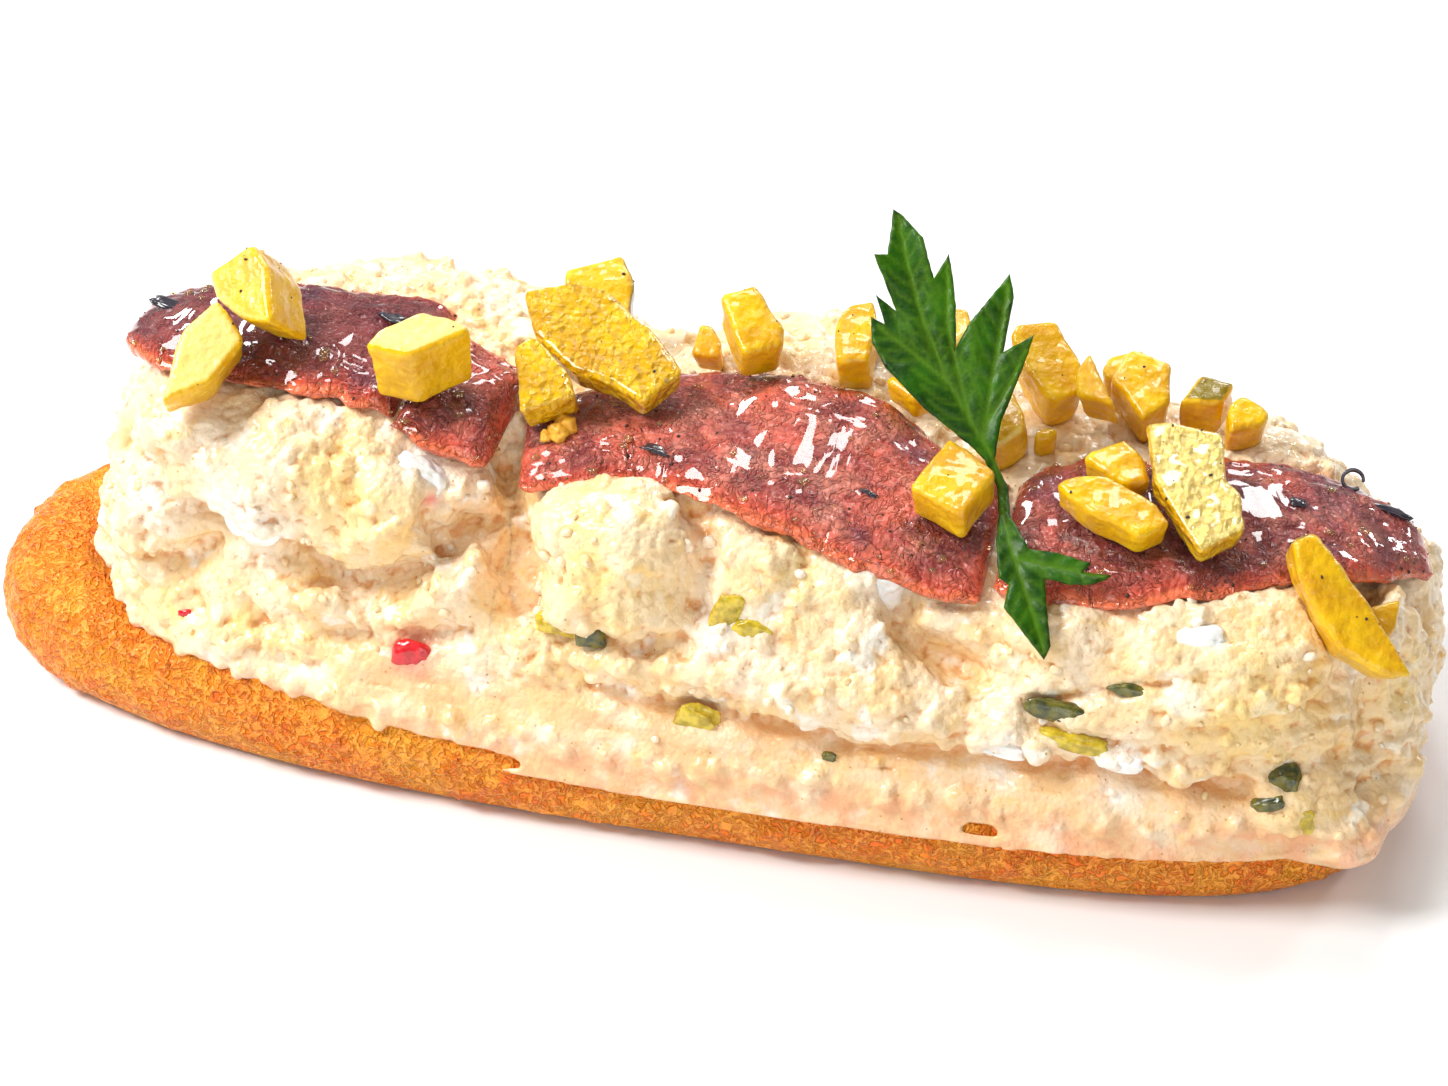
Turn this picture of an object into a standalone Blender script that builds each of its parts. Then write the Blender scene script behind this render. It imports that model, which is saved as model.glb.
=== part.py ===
"""Open sandwich: an oval bread ring heaped with potato salad, topped with anchovy
fillets, diced gherkin and one sprig of parsley.

The ring lies flat on the ground plane with its long axis along X.  Lengths below are
in millimetres; add_solid turns them into Blender's metres.
"""

import math

import bmesh
import bpy
import numpy as np
from mathutils import Matrix, Vector, noise
from mathutils.bvhtree import BVHTree

MM = 0.001
GAP = 0.35                      # clearance kept between touching pieces

# Bread ring: an oval loop of one baked rope with a flat underside
RING_LENGTH = 140.0
RING_WIDTH = 52.0
ROPE_WIDTH = 11.0
ROPE_HEIGHT = 9.6
ROPE_FLATTENING = 1.1           # how much of the round rope its flat underside cuts off
LEFT_END_POWER = 2.5            # superellipse power of the rounder end
RIGHT_END_POWER = 4.2           # and of the squarer end
RING_STATIONS = 76
ROPE_POINTS = 12
ROPE_POWER = 0.9                # under 1 squares the rope's round section a little
CUTTER_FLOOR = -5.0             # the ring's clearance is carried this far below the ground
OVAL_SAMPLES = 4001             # points at which an oval's length is measured

# Potato salad: fills the ring's hole, laps over the rope and overhangs the right end
HEAP_LEFT = -60.6
HEAP_RIGHT = 71.4
HEAP_HALF_WIDTH = 23.4
HEAP_LEFT_POWER = 2.5
HEAP_RIGHT_POWER = 3.6
HEAP_UNDERSIDE = 1.8            # height of the filling's underside within the hole
LAP_HEIGHT = 5.9                # where the salad's skirt meets the rope
SKIRT_FLARE = 0.12              # how far the skirt spreads beyond the wall, as a share
SKIRT_FADE = 12.0               # how soon that spread is lost on the way up
FILLING_GROWTH = 1.5            # the filling starts this far inside the rope's inner edge
SPINE_INSET = 24.0              # the top's spine ends this far inside the heap's ends
HEAP_STATIONS = 84
WALL_LEVELS = 15
UNDERSIDE_SHARES = (0.0, 0.5, 1.0)
SECTION_POWER_SIDE = 4.4
SECTION_POWER_TOP = 2.8

# Height of the heap's top along X: position, at the front shoulder, along the crest
TOP_HEIGHTS = (
    (-61.0, 28.0, 27.0),
    (-54.0, 34.0, 32.4),
    (-46.0, 36.6, 36.0),
    (-36.0, 37.0, 36.6),
    (-26.0, 35.8, 36.2),
    (-17.0, 32.6, 35.6),
    (-10.0, 30.4, 33.4),
    (-2.0, 32.2, 32.6),
    (8.0, 32.6, 35.0),
    (19.0, 29.6, 35.2),
    (28.0, 27.4, 31.6),
    (38.0, 28.2, 31.4),
    (50.0, 29.6, 31.6),
    (60.0, 29.6, 28.6),
    (68.0, 28.6, 27.0),
    (73.0, 25.0, 23.0),
)
FRONT_SHOULDER_Y = -16.0
CREST_Y = 8.0
CREST_FALL = 0.18               # slope of the top behind its crest

# Lumps and hollows of the heap: x, y, z, radius, push outward (negative: a hollow)
LUMPS = (
    (-40.0, -20.0, 31.0, 12.0, 2.6),
    (-48.0, -17.0, 30.0, 9.0, 1.6),
    (-30.0, -21.0, 31.0, 8.0, 1.8),
    (-38.0, -22.0, 20.5, 7.5, -2.4),
    (-12.0, -21.0, 25.0, 5.5, -2.8),
    (-3.0, -21.0, 26.0, 8.0, 2.8),
    (10.0, -21.0, 25.0, 8.0, 0.8),
    (22.0, -22.0, 18.0, 8.0, 1.4),
    (10.0, -22.0, 16.0, 8.0, 1.0),
    (30.0, -21.0, 22.0, 6.0, -1.6),
    (46.0, -22.0, 21.0, 11.0, 1.8),
    (58.0, -21.0, 23.0, 9.0, 1.8),
    (63.0, -20.0, 12.0, 8.0, 1.4),
    (70.0, -6.0, 16.0, 9.0, 1.2),
    (-58.0, 0.0, 17.0, 8.0, 1.2),
    (-59.0, -4.0, 28.0, 7.0, 1.0),
    (-20.0, 22.0, 22.0, 12.0, 1.8),
    (20.0, 22.0, 24.0, 13.0, 1.6),
    (48.0, 20.0, 20.0, 10.0, 1.6),
    (-45.0, 18.0, 26.0, 10.0, 1.4),
    (2.0, 21.0, 18.0, 9.0, -1.8),
    (-24.0, 11.0, 37.0, 8.0, 1.2),
    (12.0, 14.0, 35.0, 8.0, 1.0),
    (57.0, 13.0, 27.0, 7.0, 1.2),
)
LUMP_FALLOFF = 1.6              # how steeply a lump's push fades with distance over radius
LUMP_GRAIN = 9.0                # sizes and depth of the unnamed unevenness
FINE_GRAIN = 4.3
LUMP_DEPTH = 0.9
FINE_SHARE = 0.5
LUMP_START = 0.5                # lumps begin this far above the skirt's foot
LUMP_RISE = 5.0                 # and reach their full push over this height

# Finishes: colour, roughness, metallic
BREAD = ("toasted_bread", (0.80, 0.36, 0.09), 0.55, 0.0)
SALAD = ("potato_salad_mash", (0.93, 0.82, 0.60), 0.50, 0.0)
ANCHOVY = ("anchovy_fillet", (0.42, 0.13, 0.11), 0.22, 0.0)
GHERKIN = ("pickled_gherkin", (0.68, 0.53, 0.06), 0.25, 0.0)
PARSLEY = ("parsley_leaf", (0.04, 0.17, 0.02), 0.40, 0.0)

# Anchovy fillets: centre line (x, y), half widths at those points, greatest thickness
FILLETS = {
    "anchovy_left": dict(
        line=((-53.5, -2.6), (-51.0, -3.0), (-46.5, -4.4), (-38.0, -5.4), (-30.0, -5.0),
              (-23.4, -5.6)),
        half_widths=(2.6, 4.8, 7.4, 8.8, 9.0, 8.4), thickness=2.4, slices=20),
    "anchovy_left_tail": dict(
        line=((-22.6, -7.6), (-18.0, -8.6), (-14.2, -9.0)),
        half_widths=(7.0, 7.2, 6.0), thickness=2.0, slices=7),
    "anchovy_middle": dict(
        line=((-12.4, -11.4), (-8.4, -10.6), (-3.6, -7.6), (2.0, -6.8), (8.0, -7.8), (19.0, -8.8),
              (27.0, -10.8), (32.0, -10.8)),
        half_widths=(4.4, 5.6, 7.6, 8.6, 9.2, 9.0, 8.0, 6.8), thickness=2.6, slices=24),
    "anchovy_right": dict(
        line=((32.9, -10.0), (36.5, -10.0), (40.0, -9.0), (45.0, -8.6), (52.0, -6.4), (60.0, -2.8),
              (65.0, -0.6), (70.2, 1.0)),
        half_widths=(6.2, 8.0, 9.2, 9.6, 8.8, 7.8, 6.2, 2.8), thickness=2.4, slices=23),
}
FILLET_ROWS = 8                 # grid lines across a fillet
FILLET_EDGE = 0.45              # edge thickness as a share of the middle's
FILLET_END = 0.6                # thickness of its two cut ends, the same way
FILLET_POWER = 4                # how late the thickness falls off toward the edge

# How soft pieces bridge the heap's hollows: a map of heights and the steepest droop
MAP_STEP = 1.0
MAP_REACH = 9
FLAT_REACH = 1.3
FILLET_DROOP = 0.45
MAP_X = (-80.0, 84.0)
MAP_Y = (-34.0, 34.0)

# Gherkin pieces, lowest first: outline of the cut face, thickness, centre (x, y),
# lean of the face toward -Y and roll toward +X in degrees
GHERKINS = (
    (((-2.5, 1.5), (0, 5.5), (3.5, 2), (1.5, -3), (-2.5, -6)), 4.5, (-41.4, -15.6), 34, 14),
    (((-4.5, 1.5), (0, 4.5), (2.5, 2), (4.5, -3.5), (0.5, -3), (-3, -1)), 6.0, (-37.8, -9.4), 42, -22),
    (((-1, 0.5), (0.5, 1.5), (1, -0.5), (-0.5, -1)), 3.0, (-42.2, 1.2), 15, 0),
    (((-4.5, -2.5), (-4, 0), (-1, 3), (2.5, 2.5), (4.5, 1.5), (0, -3)), 6.5, (-21.4, -11.8), 12, 0),
    (((-4.5, 1), (0.5, 4), (2.5, 1), (3, -3), (-1, -1), (-4, -1)), 6.0, (-9.6, 8.6), 24, 6),
    (((-3.5, 3), (-2, 4.5), (0, 3), (2.5, 0.5), (4, -2), (-1, -4.5), (-2, -1)), 3.5, (-11.0, -8.2), 23, -6),
    (((-9, 5.5), (-4.5, 7), (-1, 6.5), (5.5, 1.5), (8.5, -2), (5.5, -6), (2, -4), (-2, -3), (-6.5, 0.5)),
     3.2, (-6.6, -4.0), 23, -3),
    (((-1.5, 2), (0, 2), (1, 0.5), (1.5, -1.5), (-1.5, -1.5)), 3.5, (1.8, 4.0), 30, 0),
    (((-4, 2), (-1, 4), (2.5, 0), (3, -2), (-0.5, -4)), 5.0, (6.8, 0.8), 26, 9),
    (((-2, 0), (-1.5, 2.5), (1, 4), (2, 0.5), (2, -3.5), (-1, -4)), 5.0, (15.8, 4.0), 21, 0),
    (((-2.5, 1), (-1, 2), (2.5, 0), (1, -1.5)), 3.0, (21.6, 0.0), 18, 0),
    (((-2, 0.5), (-0.5, 2.5), (1, 2.5), (2, 0), (0.5, -2.5), (-1, -2.5)), 5.0, (24.0, 10.0), 21, 0),
    (((-1.5, 5), (3.5, 1.5), (1.5, -4), (-4, -1.5)), 4.2, (28.4, -12.0), 16, 0),
    (((-4, 2), (-3.5, 3.5), (0, 4.5), (3.5, -0.5), (3.5, -3), (1, -4.5), (-2, -1.5)),
     5.5, (33.2, 8.0), 26, 6),
    (((-1.5, -0.5), (0, 4), (1.5, 1.5), (2, -0.5), (0.5, -2.5), (-1.5, -3.5)), 4.5, (31.0, -0.2), 21, -6),
    (((-1, 0.5), (1, 1), (1, -0.5), (-1, -1)), 3.0, (34.4, 1.0), 18, 0),
    (((-3.5, 0), (-2, 4), (2, 3), (2.5, -1.5), (0.5, -4), (-2, -1)), 5.0, (42.6, 6.8), 23, 3),
    (((-2, -0.5), (-1.5, 1), (1.5, 2.5), (2.5, 0.5), (1, -1.5), (-1.5, -2)), 4.0, (39.8, 12.8), 18, 0),
    (((-2, 1.5), (-1, 4), (0, 1.5), (2.5, -2.5), (-1.5, -1.5)), 4.0, (38.6, 3.8), 22, -12),
    (((-2.5, -2), (-1, 2), (2.5, 1.5), (1.5, -1.5)), 4.5, (48.2, 8.2), 16, 3),
    (((-2, 0.5), (-1, 2), (1, 1.5), (2, 0.5), (1.5, -1), (-1.5, -2.5)), 4.0, (52.2, 6.4), 20, 9),
    (((-3.5, 0), (-3, 1), (0, 3), (2, 1), (3, -1.5), (1, -2.5)), 2.6, (42.2, -5.4), 18, 0),
    (((-5, 1), (-3.5, 2.5), (-0.5, 3), (4.5, 0.5), (6, -1.5), (3.5, -3.5), (-1.5, -1.5)),
     3.2, (42.0, -11.4), 16, 3),
    (((-5.5, 5.5), (-3.5, 6), (1.5, 6), (2.5, 0.5), (4, -0.5), (5, -4.5), (1.5, -8), (-4, -0.5)),
     3.0, (49.4, -7.8), 20, 3),
    (((-5.5, 5), (-3.5, 6), (2, 1), (5, -2.5), (7, -5), (4.5, -5.5), (0, -4), (-4.5, 2)),
     4.0, (63.4, -15.0), 40, 15),
    (((-2, 0.5), (1, 2.5), (1, -0.5), (0, -2.5)), 3.5, (67.2, -11.6), 30, 18),
)
GHERKIN_EDGE = 0.35             # rounding of the cut edges
GHERKIN_TAPER = 0.92            # the far face is a little smaller than the cut face
DROP_STEP = 0.4                 # spacing of the places where a resting piece is felt

# Parsley sprig: one thin leaf that droops over the front edge and leans back on the dice.
# Side view of its middle line (y, z), from the drooping tip to the stem, then its rise.
SPRIG_DROOP = (
    (-24.5, 23.6), (-21.0, 27.8), (-18.5, 30.2), (-16.0, 31.6), (-12.0, 32.8), (-9.5, 33.6),
)
SPRIG_RISE_DEGREES = 50.0
SPRIG_RISE = 24.6
# Outline: x, and the length along the middle line measured up from the stem
SPRIG_OUTLINE = (
    (32.7, 0.0), (33.4, -3.0), (35.8, -6.7), (38.7, -6.8), (41.5, -7.3), (40.9, -8.1), (43.4, -8.2),
    (42.0, -9.2), (40.0, -9.5), (37.7, -9.2), (39.1, -15.2), (38.8, -16.4), (35.9, -13.6), (34.6, -12.4),
    (34.7, -10.3), (33.7, -9.8), (32.9, -6.3), (32.5, -3.0), (31.8, 0.0),
    (30.3, 2.4), (28.4, 3.7), (24.1, 6.3), (20.1, 9.5), (18.4, 11.8), (18.0, 14.0), (19.4, 13.4),
    (18.2, 16.0), (20.2, 14.8), (17.6, 19.6), (18.7, 19.8), (18.5, 24.4), (20.2, 23.0), (21.6, 21.8),
    (23.2, 18.2), (24.2, 20.6), (25.5, 16.0), (26.1, 11.8), (27.0, 14.4), (30.0, 19.5), (30.6, 17.4),
    (30.4, 12.2), (33.0, 14.2), (32.2, 10.5), (31.2, 6.0), (31.1, 2.6),
)
SPRIG_THICKNESS = 0.5
SPRIG_STEP = 3.0                # spacing of the lines at which the leaf bends
SPRIG_SLOPE_REACH = 1.0         # its slope is read this far to either side
MERGE_REACH = 0.005             # points closer than this are one point
CUT_REACH = 0.01


def clear_scene():
    """Remove every object the file holds."""
    for item in list(bpy.data.objects):
        bpy.data.objects.remove(item, do_unlink=True)


def finish_material(finish):
    """A Principled material of one finish, made once."""
    name, colour, roughness, metallic = finish
    material = bpy.data.materials.get(name)
    if material is None:
        material = bpy.data.materials.new(name)
        material.use_nodes = True
        shader = material.node_tree.nodes["Principled BSDF"]
        shader.inputs["Base Color"].default_value = (*colour, 1.0)
        shader.inputs["Roughness"].default_value = roughness
        shader.inputs["Metallic"].default_value = metallic
    return material


def add_solid(name, points, faces, finish):
    """One closed object from points in millimetres, its faces turned outward."""
    mesh = bpy.data.meshes.new(name)
    mesh.from_pydata([tuple(point) for point in np.asarray(points) * MM], [], faces)
    shape = bmesh.new()
    shape.from_mesh(mesh)
    bmesh.ops.remove_doubles(shape, verts=shape.verts, dist=MERGE_REACH * MM)
    bmesh.ops.triangulate(shape, faces=shape.faces)
    bmesh.ops.recalc_face_normals(shape, faces=shape.faces)
    shape.to_mesh(mesh)
    shape.free()
    mesh.shade_smooth()
    mesh.materials.append(finish_material(finish))
    solid = bpy.data.objects.new(name, mesh)
    bpy.context.scene.collection.objects.link(solid)
    return solid


def grid_faces(rows, columns, wrap_rows=False, wrap_columns=False):
    """Quads of a grid of points numbered row by row."""
    faces = []
    for row in range(rows if wrap_rows else rows - 1):
        for column in range(columns if wrap_columns else columns - 1):
            next_row = (row + 1) % rows
            next_column = (column + 1) % columns
            faces.append((row * columns + column, row * columns + next_column,
                          next_row * columns + next_column, next_row * columns + column))
    return faces


def signed_power(value, power):
    """A power that keeps the value's sign."""
    return np.sign(value) * np.abs(value) ** power


def oval(left, right, half_width, left_power, right_power, count):
    """Evenly spaced points of an oval whose two ends are superellipses of their own."""
    turn = np.linspace(0.0, 2.0 * np.pi, OVAL_SAMPLES)
    power = np.where(np.cos(turn) > 0.0, right_power, left_power)
    middle = (left + right) / 2.0
    x = middle + (right - left) / 2.0 * signed_power(np.cos(turn), 2.0 / power)
    y = half_width * signed_power(np.sin(turn), 2.0 / power)
    run = np.concatenate([[0.0], np.cumsum(np.hypot(np.diff(x), np.diff(y)))])
    places = np.arange(count) / count * run[-1]
    return np.stack([np.interp(places, run, x), np.interp(places, run, y)], axis=1)


def outward_normals(outline):
    """Outward unit normals of a closed outline that runs anticlockwise."""
    along = np.roll(outline, -1, axis=0) - np.roll(outline, 1, axis=0)
    along /= np.linalg.norm(along, axis=1)[:, None]
    return np.stack([along[:, 1], -along[:, 0]], axis=1)


def ring_surface(grow, floor):
    """The bread rope carried round its oval, grown by a clearance, cut flat at floor."""
    reach = (RING_LENGTH - ROPE_WIDTH) / 2.0
    line = oval(-reach, reach, (RING_WIDTH - ROPE_WIDTH) / 2.0,
                LEFT_END_POWER, RIGHT_END_POWER, RING_STATIONS)
    normals = outward_normals(line)
    angle = np.linspace(0.0, 2.0 * np.pi, ROPE_POINTS, endpoint=False) - np.pi / 2.0
    across = (ROPE_WIDTH / 2.0 + grow) * signed_power(np.cos(angle), ROPE_POWER)
    full_height = ROPE_HEIGHT + ROPE_FLATTENING
    middle = full_height / 2.0 - ROPE_FLATTENING
    height = middle + (full_height / 2.0 + grow) * signed_power(np.sin(angle), ROPE_POWER)
    height = np.maximum(height, floor)
    flat = line[:, None, :] + normals[:, None, :] * across[None, :, None]
    rise = np.broadcast_to(height[None, :, None], flat.shape[:2] + (1,))
    points = np.concatenate([flat, rise], axis=2).reshape(-1, 3)
    return points, grid_faces(RING_STATIONS, ROPE_POINTS, wrap_rows=True, wrap_columns=True)


def bread_ring():
    """The baked ring that carries everything."""
    points, faces = ring_surface(0.0, 0.0)
    return add_solid("bread_ring", points, faces, BREAD)


def heap_top(x, y):
    """Height of the heap's top over a point of the plan."""
    table = np.array(TOP_HEIGHTS)
    front = np.interp(x, table[:, 0], table[:, 1])
    crest = np.interp(x, table[:, 0], table[:, 2])
    share = np.clip((y - FRONT_SHOULDER_Y) / (CREST_Y - FRONT_SHOULDER_Y), 0.0, 1.0)
    share = share * share * (3.0 - 2.0 * share)
    return front + (crest - front) * share - CREST_FALL * np.maximum(y - CREST_Y, 0.0)


def lump_push(points):
    """How far the lumps and the unnamed unevenness push each point outward."""
    push = np.zeros(len(points))
    for x, y, z, radius, height in LUMPS:
        away = np.linalg.norm(points - np.array([x, y, z]), axis=1) / radius
        push += height * np.exp(-LUMP_FALLOFF * away ** 2)
    coarse = [noise.noise(Vector(point) / LUMP_GRAIN) for point in points]
    fine = [noise.noise(Vector(point) / FINE_GRAIN) for point in points]
    return push + LUMP_DEPTH * (np.array(coarse) + FINE_SHARE * np.array(fine))


def heap_surface():
    """The heap: an underside that steps down into the hole, a wall and a domed top.

    Each plan direction runs from a spine along the middle to the heap's outline.
    """
    outline = oval(HEAP_LEFT, HEAP_RIGHT, HEAP_HALF_WIDTH,
                   HEAP_LEFT_POWER, HEAP_RIGHT_POWER, HEAP_STATIONS)
    spine = np.stack([np.clip(outline[:, 0], HEAP_LEFT + SPINE_INSET, HEAP_RIGHT - SPINE_INSET),
                      np.zeros(HEAP_STATIONS)], axis=1)
    reach = RING_LENGTH / 2.0 - ROPE_WIDTH
    filling = oval(-reach, reach, RING_WIDTH / 2.0 - ROPE_WIDTH + FILLING_GROWTH,
                   LEFT_END_POWER, RIGHT_END_POWER, HEAP_STATIONS)
    rings = []
    for share in UNDERSIDE_SHARES:
        flat = spine + (filling - spine) * share
        rings.append(np.column_stack([flat, np.full(HEAP_STATIONS, HEAP_UNDERSIDE)]))
    rings.append(np.column_stack([filling, np.full(HEAP_STATIONS, LAP_HEIGHT)]))
    for level in np.linspace(0.0, 1.0, WALL_LEVELS):
        angle = level * np.pi / 2.0
        share = signed_power(np.cos(angle), 2.0 / SECTION_POWER_SIDE)
        rise = signed_power(np.sin(angle), 2.0 / SECTION_POWER_TOP)
        flat = spine + (outline - spine) * share
        flat[:, 1] *= 1.0 + SKIRT_FLARE * math.exp(-SKIRT_FADE * level)
        top = heap_top(flat[:, 0], flat[:, 1])
        rings.append(np.column_stack([flat, LAP_HEIGHT + (top - LAP_HEIGHT) * rise]))
    return np.concatenate(rings), grid_faces(len(rings), HEAP_STATIONS, wrap_columns=True)


def swell(solid):
    """Move the heap's points outward by its lumps, fading out at the underside."""
    mesh = solid.data
    count = len(mesh.vertices)
    points = np.empty(count * 3)
    mesh.vertices.foreach_get("co", points)
    normals = np.empty(count * 3)
    mesh.vertex_normals.foreach_get("vector", normals)
    points = points.reshape(-1, 3) / MM
    normals = normals.reshape(-1, 3)
    fade = np.clip((points[:, 2] - LAP_HEIGHT - LUMP_START) / LUMP_RISE, 0.0, 1.0)
    points += normals * (lump_push(points) * fade)[:, None]
    mesh.vertices.foreach_set("co", (points * MM).ravel())
    mesh.update()


def potato_salad():
    """The heap of salad, cut to the bread ring it sits on."""
    points, faces = heap_surface()
    heap = add_solid("potato_salad", points, faces, SALAD)
    swell(heap)
    points, faces = ring_surface(GAP, CUTTER_FLOOR)
    cutter = add_solid("ring_clearance", points, faces, BREAD)
    cutter.hide_render = True
    cutter.display_type = "WIRE"
    cut = heap.modifiers.new("ring_clearance", "BOOLEAN")
    cut.operation = "DIFFERENCE"
    cut.solver = "EXACT"
    cut.object = cutter
    return heap


def world_tree(solid):
    """The solid's finished surface as a tree that rays can be cast at."""
    depsgraph = bpy.context.evaluated_depsgraph_get()
    evaluated = solid.evaluated_get(depsgraph)
    mesh = evaluated.to_mesh()
    points = [solid.matrix_world @ vertex.co for vertex in mesh.vertices]
    faces = [tuple(face.vertices) for face in mesh.polygons]
    return BVHTree.FromPolygons(points, faces)


def height_below(trees, x, y):
    """Height in millimetres of the highest surface under a point of the plan."""
    heights = [0.0]
    start = Vector((x * MM, y * MM, 1.0))
    for tree in trees:
        hit = tree.ray_cast(start, Vector((0.0, 0.0, -1.0)))[0]
        if hit is not None:
            heights.append(hit.z / MM)
    return max(heights)


class SoftGround:
    """Heights at which a soft piece lies, bridging hollows no steeper than its droop."""

    def __init__(self, trees, droop):
        self.x = np.arange(*MAP_X, MAP_STEP)
        self.y = np.arange(*MAP_Y, MAP_STEP)
        raw = np.array([[height_below(trees, x, y) for y in self.y] for x in self.x])
        padded = np.pad(raw, MAP_REACH)
        self.heights = raw.copy()
        for across in range(-MAP_REACH, MAP_REACH + 1):
            for along in range(-MAP_REACH, MAP_REACH + 1):
                distance = math.hypot(across, along) * MAP_STEP
                fall = droop * max(0.0, distance - FLAT_REACH)
                shifted = padded[MAP_REACH + across:MAP_REACH + across + len(self.x),
                                 MAP_REACH + along:MAP_REACH + along + len(self.y)]
                self.heights = np.maximum(self.heights, shifted - fall)

    def at(self, x, y):
        """Heights at points of the plan, between the map's own points."""
        column = (np.asarray(x) - self.x[0]) / MAP_STEP
        row = (np.asarray(y) - self.y[0]) / MAP_STEP
        i = np.clip(column.astype(int), 0, len(self.x) - 2)
        j = np.clip(row.astype(int), 0, len(self.y) - 2)
        u = column - i
        v = row - j
        heights = self.heights
        near = heights[i, j] * (1 - v) + heights[i, j + 1] * v
        far = heights[i + 1, j] * (1 - v) + heights[i + 1, j + 1] * v
        return near * (1 - u) + far * u


def along_line(places, run, line):
    """Points of a line at the given lengths along it."""
    return np.stack([np.interp(places, run, line[:, 0]), np.interp(places, run, line[:, 1])], axis=1)


def fillet(name, line, half_widths, thickness, slices, ground):
    """One anchovy fillet: a strip along its line, laid on the soft ground."""
    line = np.array(line)
    run = np.concatenate([[0.0], np.cumsum(np.linalg.norm(np.diff(line, axis=0), axis=1))])
    places = np.linspace(0.0, run[-1], slices)
    centre = along_line(places, run, line)
    width = np.interp(places, run, half_widths)
    along = np.gradient(centre, axis=0)
    along /= np.linalg.norm(along, axis=1)[:, None]
    side = np.stack([-along[:, 1], along[:, 0]], axis=1)
    share = np.linspace(-1.0, 1.0, FILLET_ROWS)
    plan = centre[:, None, :] + side[:, None, :] * (width[:, None] * share[None, :])[:, :, None]
    under = ground.at(plan[:, :, 0], plan[:, :, 1]) + GAP
    ends = np.minimum(np.arange(slices), np.arange(slices)[::-1])
    end_share = np.where(ends == 0, FILLET_END, 1.0)[:, None]
    section = FILLET_EDGE + (1.0 - FILLET_EDGE) * (1.0 - share[None, :] ** FILLET_POWER)
    thick = thickness * end_share * section
    lower = np.concatenate([plan, under[:, :, None]], axis=2)
    upper = np.concatenate([plan, (under + thick)[:, :, None]], axis=2)
    loops = np.concatenate([lower, upper[:, ::-1]], axis=1)
    loop_length = loops.shape[1]
    faces = grid_faces(slices, loop_length, wrap_columns=True)
    for start in (0, (slices - 1) * loop_length):
        for row in range(FILLET_ROWS - 1):
            faces.append((start + row, start + row + 1,
                          start + loop_length - 2 - row, start + loop_length - 1 - row))
    return add_solid(name, loops.reshape(-1, 3), faces, ANCHOVY)


def gherkin_shape(outline, thickness):
    """A cut piece of gherkin: its cut face extruded, tapered and its edges rounded."""
    outline = np.array(outline, dtype=float)
    count = len(outline)
    upper = np.column_stack([outline, np.full(count, thickness / 2.0)])
    lower = np.column_stack([outline * GHERKIN_TAPER, np.full(count, -thickness / 2.0)])
    faces = [tuple(range(count)), tuple(range(2 * count - 1, count - 1, -1))]
    for corner in range(count):
        following = (corner + 1) % count
        faces.append((corner, following, count + following, count + corner))
    shape = bmesh.new()
    corners = [shape.verts.new(point) for point in np.concatenate([upper, lower])]
    for face in faces:
        shape.faces.new([corners[index] for index in face])
    bmesh.ops.recalc_face_normals(shape, faces=shape.faces)
    bmesh.ops.bevel(shape, geom=list(shape.edges), offset=GHERKIN_EDGE, segments=1, affect="EDGES")
    shape.verts.ensure_lookup_table()
    points = np.array([vertex.co for vertex in shape.verts])
    faces = [tuple(vertex.index for vertex in face.verts) for face in shape.faces]
    shape.free()
    return points, faces


def rest_on(points, faces, trees):
    """How far a piece has to rise or fall for its lowest parts to rest on what is below."""
    own = BVHTree.FromPolygons([Vector(point) * MM for point in points], faces)
    low = points.min(axis=0)
    high = points.max(axis=0)
    room = []
    for x in np.arange(low[0], high[0], DROP_STEP):
        for y in np.arange(low[1], high[1], DROP_STEP):
            hit = own.ray_cast(Vector((x * MM, y * MM, -1.0)), Vector((0.0, 0.0, 1.0)))[0]
            if hit is not None:
                room.append(hit.z / MM - height_below(trees, x, y))
    return GAP - min(room)


def gherkin(number, outline, thickness, centre, lean, roll, trees):
    """One piece of gherkin, turned to its lean and roll and set down on what is below."""
    points, faces = gherkin_shape(outline, thickness)
    turn = Matrix.Rotation(math.radians(lean), 3, "X") @ Matrix.Rotation(math.radians(roll), 3, "Y")
    points = points @ np.array(turn).T + np.array([*centre, 0.0])
    points[:, 2] += rest_on(points, faces, trees)
    return add_solid(f"gherkin_{number:02d}", points, faces, GHERKIN)


def flat_sprig():
    """The sprig's outline filled with triangles, cut across wherever it may bend."""
    shape = bmesh.new()
    shape.faces.new([shape.verts.new((x, length, 0.0)) for x, length in SPRIG_OUTLINE])
    bmesh.ops.triangulate(shape, faces=shape.faces, ngon_method="EAR_CLIP")
    lengths = [length for _, length in SPRIG_OUTLINE]
    for cut in np.arange(min(lengths) + SPRIG_STEP, max(lengths), SPRIG_STEP):
        everything = list(shape.verts) + list(shape.edges) + list(shape.faces)
        bmesh.ops.bisect_plane(shape, geom=everything, plane_co=(0.0, cut, 0.0),
                               plane_no=(0.0, 1.0, 0.0), dist=CUT_REACH)
    bmesh.ops.triangulate(shape, faces=shape.faces)
    shape.verts.ensure_lookup_table()
    shape.verts.index_update()
    points = np.array([vertex.co[:2] for vertex in shape.verts])
    faces = [tuple(vertex.index for vertex in face.verts) for face in shape.faces]
    rim = [tuple(loop.vert.index for loop in (edge.link_loops[0], edge.link_loops[0].link_loop_next))
           for edge in shape.edges if len(edge.link_faces) == 1]
    shape.free()
    return points, faces, rim


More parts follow.
